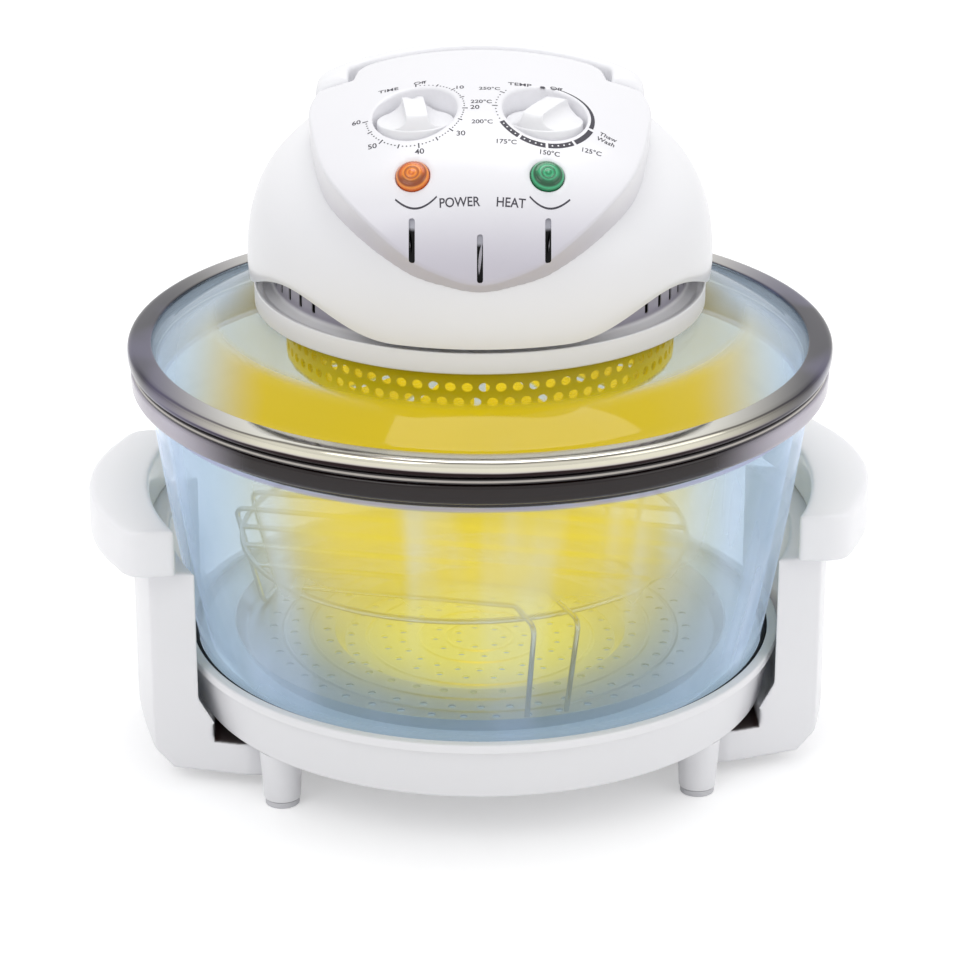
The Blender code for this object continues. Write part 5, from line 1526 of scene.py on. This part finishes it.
def make_print(scene):
    """The scales round both dials, the words and the arcs under the lamps."""
    height = scene.oven_shapes.letter
    work, pale = bmesh.new(), bmesh.new()
    ticks = [0, 26, 48.7, 70.6, 94, 114.6, 133.6, 153.4, 175, 198.6, 222, 245, 267]
    for i, angle in enumerate(ticks):
        long = 0.0026 if i % 2 == 0 else 0.0022
        line_print(work, [on_scale(-1, 0.0222, angle), on_scale(-1, 0.0222 + long, angle)], [0.0006, 0.0006])
        if i + 1 < len(ticks):
            for k in range(1, 5):
                spot_print(work, *on_scale(-1, 0.0231, angle + (ticks[i + 1] - angle) * k / 5), 0.00038)
    for words, x, y in (("10", -0.0094, -0.0362), ("20", -0.0024, -0.0546), ("30", -0.0089, -0.0721),
                        ("40", -0.0281, -0.0801), ("50", -0.0502, -0.0725), ("60", -0.0582, -0.0535)):
        letter_print(work, words, x, y, height)
    letter_print(work, "TIME", -0.0436, -0.0296, height, 0.0098)
    letter_print(work, "Off", -0.0285, -0.0272, height)
    letter_print(work, "TEMP", 0.0189, -0.0318, height, 0.0112)
    spot_print(work, *on_scale(1, 0.0214, -2), 0.0013)
    letter_print(work, "Off", 0.0363, -0.0311, height)
    thin_thick = [on_scale(1, 0.0226, 8 + 100 * i / 40) for i in range(41)]
    line_print(work, thin_thick, [0.0003 + 0.0018 * i / 40 for i in range(41)])
    for start, end, dots in ((112, 143, 0), (146, 177, 4), (180, 210, 4), (213, 242, 4)):
        chain = [on_scale(1, 0.0230, start + (end - start) * i / 14) for i in range(15)]
        line_print(work, chain, [0.0025] * 15)
        for k in range(dots):
            x, y = on_scale(1, 0.0230, start + (end - start) * (k + 0.7) / (dots + 0.4))
            spot_print(pale, x, y, 0.00042)
    for angle in (247, 253, 259, 265, 277, 283, 289, 295, 308):
        spot_print(work, *on_scale(1, 0.0232, angle), 0.00038)
    for angle in (271, 302):
        line_print(work, [on_scale(1, 0.0222, angle), on_scale(1, 0.0248, angle)], [0.0006, 0.0006])
    for words, x, y in (("125°C", 0.0521, -0.0750), ("150°C", 0.0325, -0.0802), ("175°C", 0.0124, -0.0766),
                        ("200°C", 0.0010, -0.0650), ("220°C", 0.0006, -0.0500), ("250°C", 0.0045, -0.0378)):
        letter_print(work, words, x, y, height * 0.88)
    letter_print(work, "Thaw\nWash", 0.0594, -0.0650, height * 0.88, turn=math.radians(-14))
    letter_print(work, "POWER", -0.0093, -0.1013, 0.0046, 0.0187)
    letter_print(work, "HEAT", 0.0144, -0.1013, 0.0046, 0.0134)
    for points in (((-0.0391, -0.0983), (-0.0295, -0.1021), (-0.0199, -0.0992)),
                   ((0.0229, -0.0990), (0.0320, -0.1019), (0.0416, -0.0980))):
        start, middle, end = (Vector(p) for p in points)
        pull = middle * 2 - (start + end) / 2
        chain = [start * (1 - t) ** 2 + pull * (2 * t * (1 - t)) + end * t ** 2
                 for t in (i / 20 for i in range(21))]
        line_print(work, chain, [0.0006] * len(chain))
    dark = tuple(scene.oven_colours.ink)
    ink = finish_named("ink", lambda: mottled("panel_ink", dark, tuple(c * 1.4 for c in dark), (500.0,),
                                              (0.45, 0.1, 400.0), specular_ior_level=0.3))
    pale_ink = finish_named("pale", lambda: mottled("pale_ink", tone(246, 246, 248), tone(236, 236, 240), (500.0,),
                                                    (0.45, 0.1, 400.0)))
    for vert in pale.verts:
        vert.co.z += 0.00006
    for name, print_work, surface, slot in (("scale_print", work, ink, "black_plastic"),
                                            ("scale_dots", pale, pale_ink, "white_plastic")):
        mesh = bpy.data.meshes.new(name)
        for face in print_work.faces:
            face.normal_update()
            if face.normal.z < 0:
                face.normal_flip()
        print_work.to_mesh(mesh)
        print_work.free()
        item = bpy.data.objects.new(name, mesh)
        bpy.context.scene.collection.objects.link(item)
        item.data.materials.append(surface)
        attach(item, "lid")


def make_handle(scene):
    """The folding handle: a soft-edged bow that follows the crown, with a round hub at each end."""
    depth, lift, hub_r = 0.0110, 0.0020, 0.0055
    outer_x, width, back_y, corner_r = 0.0800, 0.0160, 0.0505, 0.0260
    path = [(outer_x - width / 2, pivot_y - hub_r * math.sin(math.pi / 2 * i / 8)) for i in range(8, 0, -1)]
    straight = [(outer_x - width / 2, pivot_y + (back_y - corner_r - pivot_y) * i / 6) for i in range(6)]
    bend = arc((outer_x - corner_r, back_y - corner_r), corner_r - width / 2, 0, math.pi / 2, 16)
    half_bar = [(x, back_y - width / 2) for x in (0.042, 0.030, 0.018, 0.006)]
    half = path + straight + bend + half_bar
    route = half + [(-x, y) for x, y in reversed(half)]
    section = softened([(-1, -1), (1, -1), (1, 1), (-1, 1)], [0.62, 0.62, 0.75, 0.75], True, 5)
    work = bmesh.new()
    rows = []
    for i, here in enumerate(route):
        here = Vector(here)
        along = (Vector(route[min(i + 1, len(route) - 1)]) - Vector(route[max(i - 1, 0)])).normalized()
        across = Vector((along.y, -along.x))
        past = max(pivot_y - here.y, 0.0)
        share = math.sqrt(max(hub_r ** 2 - past ** 2, 0.0)) / hub_r
        row = []
        for w, k in section:
            p = here + across * (w * width / 2)
            top = crown_z(p.x, p.y if past == 0 else pivot_y) + lift
            middle = top - depth / 2
            row.append(work.verts.new((p.x, p.y, middle + k * depth / 2 * max(share, 0.05))))
        rows.append(row)
    for first, second in zip(rows, rows[1:]):
        strip(work, first, second)
    work.faces.new(rows[0])
    work.faces.new(rows[-1])
    settle(loose("handle_bow", work), white_finish(scene), "handle", "handle", sharp=60.0)


# Heater
def make_cage(scene):
    """The perforated rim round the heater: two staggered rows of holes under a plain band and a flange."""
    colours = scene.oven_colours
    surface = finish_named("cage", cage_steel, colours)
    count = scene.oven_shapes.cage_holes
    sheet = 0.0009
    work = bmesh.new()
    pitch = 2 * math.pi / count
    for row, middle in enumerate(cage_rows):
        def spot(across, up, down, middle=middle):
            angle = across / cage_r
            return Vector(((cage_r - down) * math.cos(angle), (cage_r - down) * math.sin(angle), middle + up))
        one = tile(cage_r * pitch, cage_row_height, 0.0052, 0.0046, spot, sheet)
        absorb(work, repeated(one, count, pitch * row / 2, pitch, surface))
    low_edge, high_edge = cage_rows[0] - cage_row_height / 2, cage_rows[1] + cage_row_height / 2
    turned(profile((cage_r - sheet, low_edge), (cage_r - sheet, cage_low_z, 0.0004), (cage_r, cage_low_z, 0.0004),
                   (cage_r, low_edge)), count * 4, work=work)
    turned(profile((cage_r - sheet, high_edge), (cage_r, high_edge), (cage_r, cage_top_z, 0.0006),
                   (cage_r - 0.0080, cage_top_z), (cage_r - 0.0080, cage_top_z - sheet),
                   (cage_r - sheet, cage_top_z - sheet, 0.0004)), count * 4, work=work)
    bmesh.ops.remove_doubles(work, verts=work.verts, dist=weld)
    seams = [face for face in work.faces
             if any(all(abs(vert.co.z - z) < 1e-6 for vert in face.verts) for z in (low_edge, high_edge))]
    bmesh.ops.delete(work, geom=seams, context="FACES_ONLY")
    settle(loose("cage_steel", work), surface, "lid", "heater_cage")


def cage_steel(colours):
    made = Finish("cage_steel", metallic=0.85)
    grain = made.noise(180.0, 3.0, (1, 1, 0.3))
    # Painted light: the steel is painted yellow as the heater lights it.
    made.set("Base Color", made.mix(grain, tone(150, 130, 24), tone(186, 164, 36)))
    glow = made.rise(made.z, 0.206, 0.226)
    # Painted glow of the heater's light on the cage.
    made.set("Emission Color", made.mix(glow, tone(150, 128, 8), tone(120, 100, 6)))
    made.set("Emission Strength", 1.15)
    made.set("Roughness", 0.28 + grain * 0.12)
    return made


def make_tube(scene):
    """The halogen ring: a quartz tube with capped ends."""
    work = bmesh.new()
    gap = math.radians(46.0)
    start = math.pi / 2 + gap / 2
    route = [(x, y, lamp_z) for x, y in arc((0, 0), lamp_ring_r, start, start + 2 * math.pi - gap, 128)]
    swept(work, route, 0.0050, 20)
    settle(loose("halogen_ring", work), finish_named("quartz", hot_quartz, scene.oven_colours), "lid",
           "halogen_tube", sharp=50.0)


def make_gland(scene):
    """The ribbed rubber outlet at the back."""
    wall_y = dome_r - shell - 0.0070
    low, high = wall_y - 0.0030, wall_y + 0.0170
    ribs = []
    for i in range(4):
        z = wall_y + 0.0046 + i * 0.0033
        ribs += [(0.0075, z, 0.0004), (0.0075, z + 0.0017, 0.0004), (0.0062, z + 0.0020, 0.0003),
                 (0.0062, z + 0.0030, 0.0003)]
    points = [(0.0040, low, 0.0003), (0.0100, low, 0.0005), (0.0100, wall_y, 0.0005),
              (0.0075, wall_y)] + ribs[:-1] + [
        (0.0062, high, 0.0008), (0.0040, high, 0.0008)]
    axis = Matrix.Translation((0, 0, gland_z)) @ Matrix.Rotation(-math.pi / 2, 4, "X")
    item = loose("cord_outlet", turned(profile(*points), 64, axis))
    settle(item, rubber_finish(), "lid", "cord_gland")


def dress_inner(scene):
    """Finishes for the small inner pieces, which keep their own solids."""
    colours = scene.oven_colours
    cast = finish_named("cast", plain_metal, "cast_metal", tone(150, 150, 154), 0.45)
    drawn = finish_named("drawn", plain_metal, "drawn_steel", tone(196, 194, 190), 0.28)
    zinc = finish_named("zinc", plain_metal, "zinc_metal", tone(176, 178, 184), 0.36)
    black = finish_named("black", lambda: mottled(
        "black_moulding", tone(22, 22, 24), tone(40, 40, 43), (60.0,), (0.40, 0.15, 300.0), (900.0, 0.00004, 0.4),
        specular_ior_level=0.4))
    ceramic = finish_named("ceramic", lambda: mottled(
        "plain_ceramic", tone(236, 230, 214), tone(220, 212, 192), (90.0, 3.0), (0.55, 0.2, 200.0),
        (600.0, 0.00005, 0.5)))
    heat = finish_named("heat", sheet_steel, "heater_steel", tone(214, 204, 150), 0.9, 0.10, 0.26)
    dressed = [
        (cast, ["motor", "motor_bracket", "timer_unit", "thermostat_unit"]),
        (drawn, ["drive_shaft", "arm_screw_1", "arm_screw_2", "arm_screw_3", "arm_screw_4", "timer_shaft",
                 "thermostat_shaft"]),
        (zinc, ["handle_pin_left", "handle_pin_right", "power_lamp", "heat_lamp"]),
        (black, ["switch_plunger", "safety_switch", "cooling_fan"]),
        (heat, ["heat_reflector", "heater_guard", "convection_fan"]),
        (ceramic, ["tube_holder_1", "tube_holder_2"]),
    ]
    for surface, names in dressed:
        for name in names:
            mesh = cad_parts[name].data
            mesh.materials.clear()
            mesh.materials.append(surface)


# Stage
def make_stage(scene):
    """The plain floor, the soft lamps, the white room and the camera."""
    stage = scene.oven_stage
    half = stage.floor
    mesh = bpy.data.meshes.new("floor")
    mesh.from_pydata([(-half, -half, 0), (half, -half, 0), (half, half, 0), (-half, half, 0)], [], [(0, 1, 2, 3)])
    floor = bpy.data.objects.new("floor", mesh)
    scene.collection.objects.link(floor)
    paper = Finish("white_paper", roughness=0.9, specular_ior_level=0.0)
    paper.set("Base Color", paper.mix(paper.noise(3.0), (0.86, 0.86, 0.87), (0.88, 0.88, 0.88)))
    paper.set("Emission Color", paper.mix(paper.seen(), (0, 0, 0), (0.34, 0.34, 0.34)))
    paper.set("Emission Strength", 1.0)
    floor.data.materials.append(paper.material)
    world = bpy.data.worlds.new("white_room")
    world.use_nodes = True
    scene.world = world
    room = Sheet(world.node_tree)
    back = world.node_tree.nodes["Background"]
    back.inputs["Color"].default_value = (1, 1, 1, 1)
    room.feed(back.inputs["Strength"], stage.soft_light + room.seen() * (1 - stage.soft_light))
    for name, power, size, place in (("main_lamp", stage.key, 1.2, (-1.1, -1.5, 1.9)),
                                     ("fill_lamp", stage.fill, 1.4, (1.7, -0.9, 1.2)),
                                     ("top_lamp", stage.top, 1.3, (0.1, 0.3, 2.3))):
        lamp = bpy.data.lights.new(name, "AREA")
        lamp.shape = "SQUARE"
        lamp.size = size
        lamp.energy = power
        item = bpy.data.objects.new(name, lamp)
        item.location = place
        item.rotation_euler = (Vector((0, 0, 0.15)) - Vector(place)).to_track_quat("-Z", "Y").to_euler()
        scene.collection.objects.link(item)
    camera = bpy.data.objects.new("camera", bpy.data.cameras.new("camera"))
    camera.data.sensor_width = 36.0
    camera.data.lens = stage.lens
    camera.location = (0.0, -1.6656, 0.8174)
    camera.rotation_euler = (math.pi / 2 - stage.look_down, 0.0, 0.0)
    scene.collection.objects.link(camera)
    scene.camera = camera
    scene.view_settings.view_transform = "Standard"


# One operator for each piece or group of like pieces
class OVEN_OT_base(bpy.types.Operator):
    """Makes the round base and the dark seal that the bowl sits in"""
    bl_idname = "oven.base"
    bl_label = "Base and seat seal"

    def execute(self, context):
        make_base(context.scene)
        return {"FINISHED"}


class OVEN_OT_feet(bpy.types.Operator):
    """Makes the four feet and their rubber pads"""
    bl_idname = "oven.feet"
    bl_label = "Feet"

    def execute(self, context):
        make_feet(context.scene)
        return {"FINISHED"}


class OVEN_OT_arms(bpy.types.Operator):
    """Makes the two uprights"""
    bl_idname = "oven.arms"
    bl_label = "Arms"

    def execute(self, context):
        make_arms(context.scene)
        return {"FINISHED"}


class OVEN_OT_grips(bpy.types.Operator):
    """Makes the two carrying grips"""
    bl_idname = "oven.grips"
    bl_label = "Grips"

    def execute(self, context):
        make_grips(context.scene)
        return {"FINISHED"}


class OVEN_OT_bowl(bpy.types.Operator):
    """Makes the glass bowl"""
    bl_idname = "oven.bowl"
    bl_label = "Glass bowl"

    def execute(self, context):
        make_bowl(context.scene)
        return {"FINISHED"}


class OVEN_OT_tray(bpy.types.Operator):
    """Makes the perforated tray"""
    bl_idname = "oven.tray"
    bl_label = "Perforated tray"

    def execute(self, context):
        make_tray(context.scene)
        return {"FINISHED"}


class OVEN_OT_rack(bpy.types.Operator):
    """Makes the wire rack"""
    bl_idname = "oven.rack"
    bl_label = "Wire rack"

    def execute(self, context):
        make_rack(context.scene)
        return {"FINISHED"}


class OVEN_OT_hoop(bpy.types.Operator):
    """Makes the metal hoop and the seal under it"""
    bl_idname = "oven.hoop"
    bl_label = "Hoop and gasket"

    def execute(self, context):
        make_hoop(context.scene)
        return {"FINISHED"}


class OVEN_OT_lid_glass(bpy.types.Operator):
    """Makes the lid's domed glass"""
    bl_idname = "oven.lid_glass"
    bl_label = "Lid glass"

    def execute(self, context):
        make_lid_glass(context.scene)
        return {"FINISHED"}


class OVEN_OT_head(bpy.types.Operator):
    """Makes the white ring with its vents, and the dome over it"""
    bl_idname = "oven.head"
    bl_label = "Head ring and dome"

    def execute(self, context):
        make_head_base(context.scene)
        make_dome(context.scene)
        return {"FINISHED"}


class OVEN_OT_panel(bpy.types.Operator):
    """Makes the control panel with its wells and slots"""
    bl_idname = "oven.panel"
    bl_label = "Control panel"

    def execute(self, context):
        make_panel(context.scene)
        return {"FINISHED"}


class OVEN_OT_knobs(bpy.types.Operator):
    """Makes the timer's and the thermostat's knobs"""
    bl_idname = "oven.knobs"
    bl_label = "Knobs"

    def execute(self, context):
        make_knobs(context.scene)
        return {"FINISHED"}


class OVEN_OT_lenses(bpy.types.Operator):
    """Makes the two lamp lenses"""
    bl_idname = "oven.lenses"
    bl_label = "Lamp lenses"

    def execute(self, context):
        make_lenses(context.scene)
        return {"FINISHED"}


class OVEN_OT_print(bpy.types.Operator):
    """Makes the printed scales and words"""
    bl_idname = "oven.scales"
    bl_label = "Printed scales"

    def execute(self, context):
        make_print(context.scene)
        return {"FINISHED"}


class OVEN_OT_handle(bpy.types.Operator):
    """Makes the folding handle"""
    bl_idname = "oven.handle"
    bl_label = "Handle"

    def execute(self, context):
        make_handle(context.scene)
        return {"FINISHED"}


class OVEN_OT_heater(bpy.types.Operator):
    """Makes the heater's perforated cage and its halogen ring"""
    bl_idname = "oven.heater"
    bl_label = "Heater"

    def execute(self, context):
        make_cage(context.scene)
        make_tube(context.scene)
        return {"FINISHED"}


class OVEN_OT_gland(bpy.types.Operator):
    """Makes the cord's outlet at the back"""
    bl_idname = "oven.gland"
    bl_label = "Cord outlet"

    def execute(self, context):
        make_gland(context.scene)
        return {"FINISHED"}


class OVEN_OT_inner(bpy.types.Operator):
    """Gives the inner pieces their finishes"""
    bl_idname = "oven.inner"
    bl_label = "Inner pieces"

    def execute(self, context):
        dress_inner(context.scene)
        return {"FINISHED"}


class OVEN_OT_stage(bpy.types.Operator):
    """Makes the floor, the lamps and the camera"""
    bl_idname = "oven.stage"
    bl_label = "Stage"

    def execute(self, context):
        make_stage(context.scene)
        return {"FINISHED"}


operators = [OVEN_OT_stage, OVEN_OT_base, OVEN_OT_feet, OVEN_OT_arms, OVEN_OT_grips, OVEN_OT_bowl, OVEN_OT_tray,
             OVEN_OT_rack, OVEN_OT_hoop, OVEN_OT_lid_glass, OVEN_OT_head, OVEN_OT_panel, OVEN_OT_knobs,
             OVEN_OT_lenses, OVEN_OT_print, OVEN_OT_handle, OVEN_OT_heater, OVEN_OT_gland, OVEN_OT_inner]


class OVEN_PT_panel(bpy.types.Panel):
    """The oven's settings and the buttons that make it"""
    bl_idname = "OVEN_PT_panel"
    bl_label = "Halogen oven"
    bl_space_type = "VIEW_3D"
    bl_region_type = "UI"
    bl_category = "Oven"

    def draw(self, context):
        for group in (context.scene.oven_shapes, context.scene.oven_colours, context.scene.oven_stage):
            box = self.layout.box()
            for name in group.__annotations__:
                box.prop(group, name)
        for operator in operators:
            self.layout.operator(operator.bl_idname)


classes = [OvenColours, OvenShapes, OvenStage, *operators, OVEN_PT_panel]


def register():
    for one in classes:
        bpy.utils.register_class(one)
    bpy.types.Scene.oven_colours = PointerProperty(type=OvenColours)
    bpy.types.Scene.oven_shapes = PointerProperty(type=OvenShapes)
    bpy.types.Scene.oven_stage = PointerProperty(type=OvenStage)


def unregister():
    for name in ("oven_colours", "oven_shapes", "oven_stage"):
        delattr(bpy.types.Scene, name)
    for one in reversed(classes):
        bpy.utils.unregister_class(one)


def main():
    register()
    for operator in operators:
        group, name = operator.bl_idname.split(".")
        getattr(getattr(bpy.ops, group), name)()


if __name__ == "__main__":
    main()
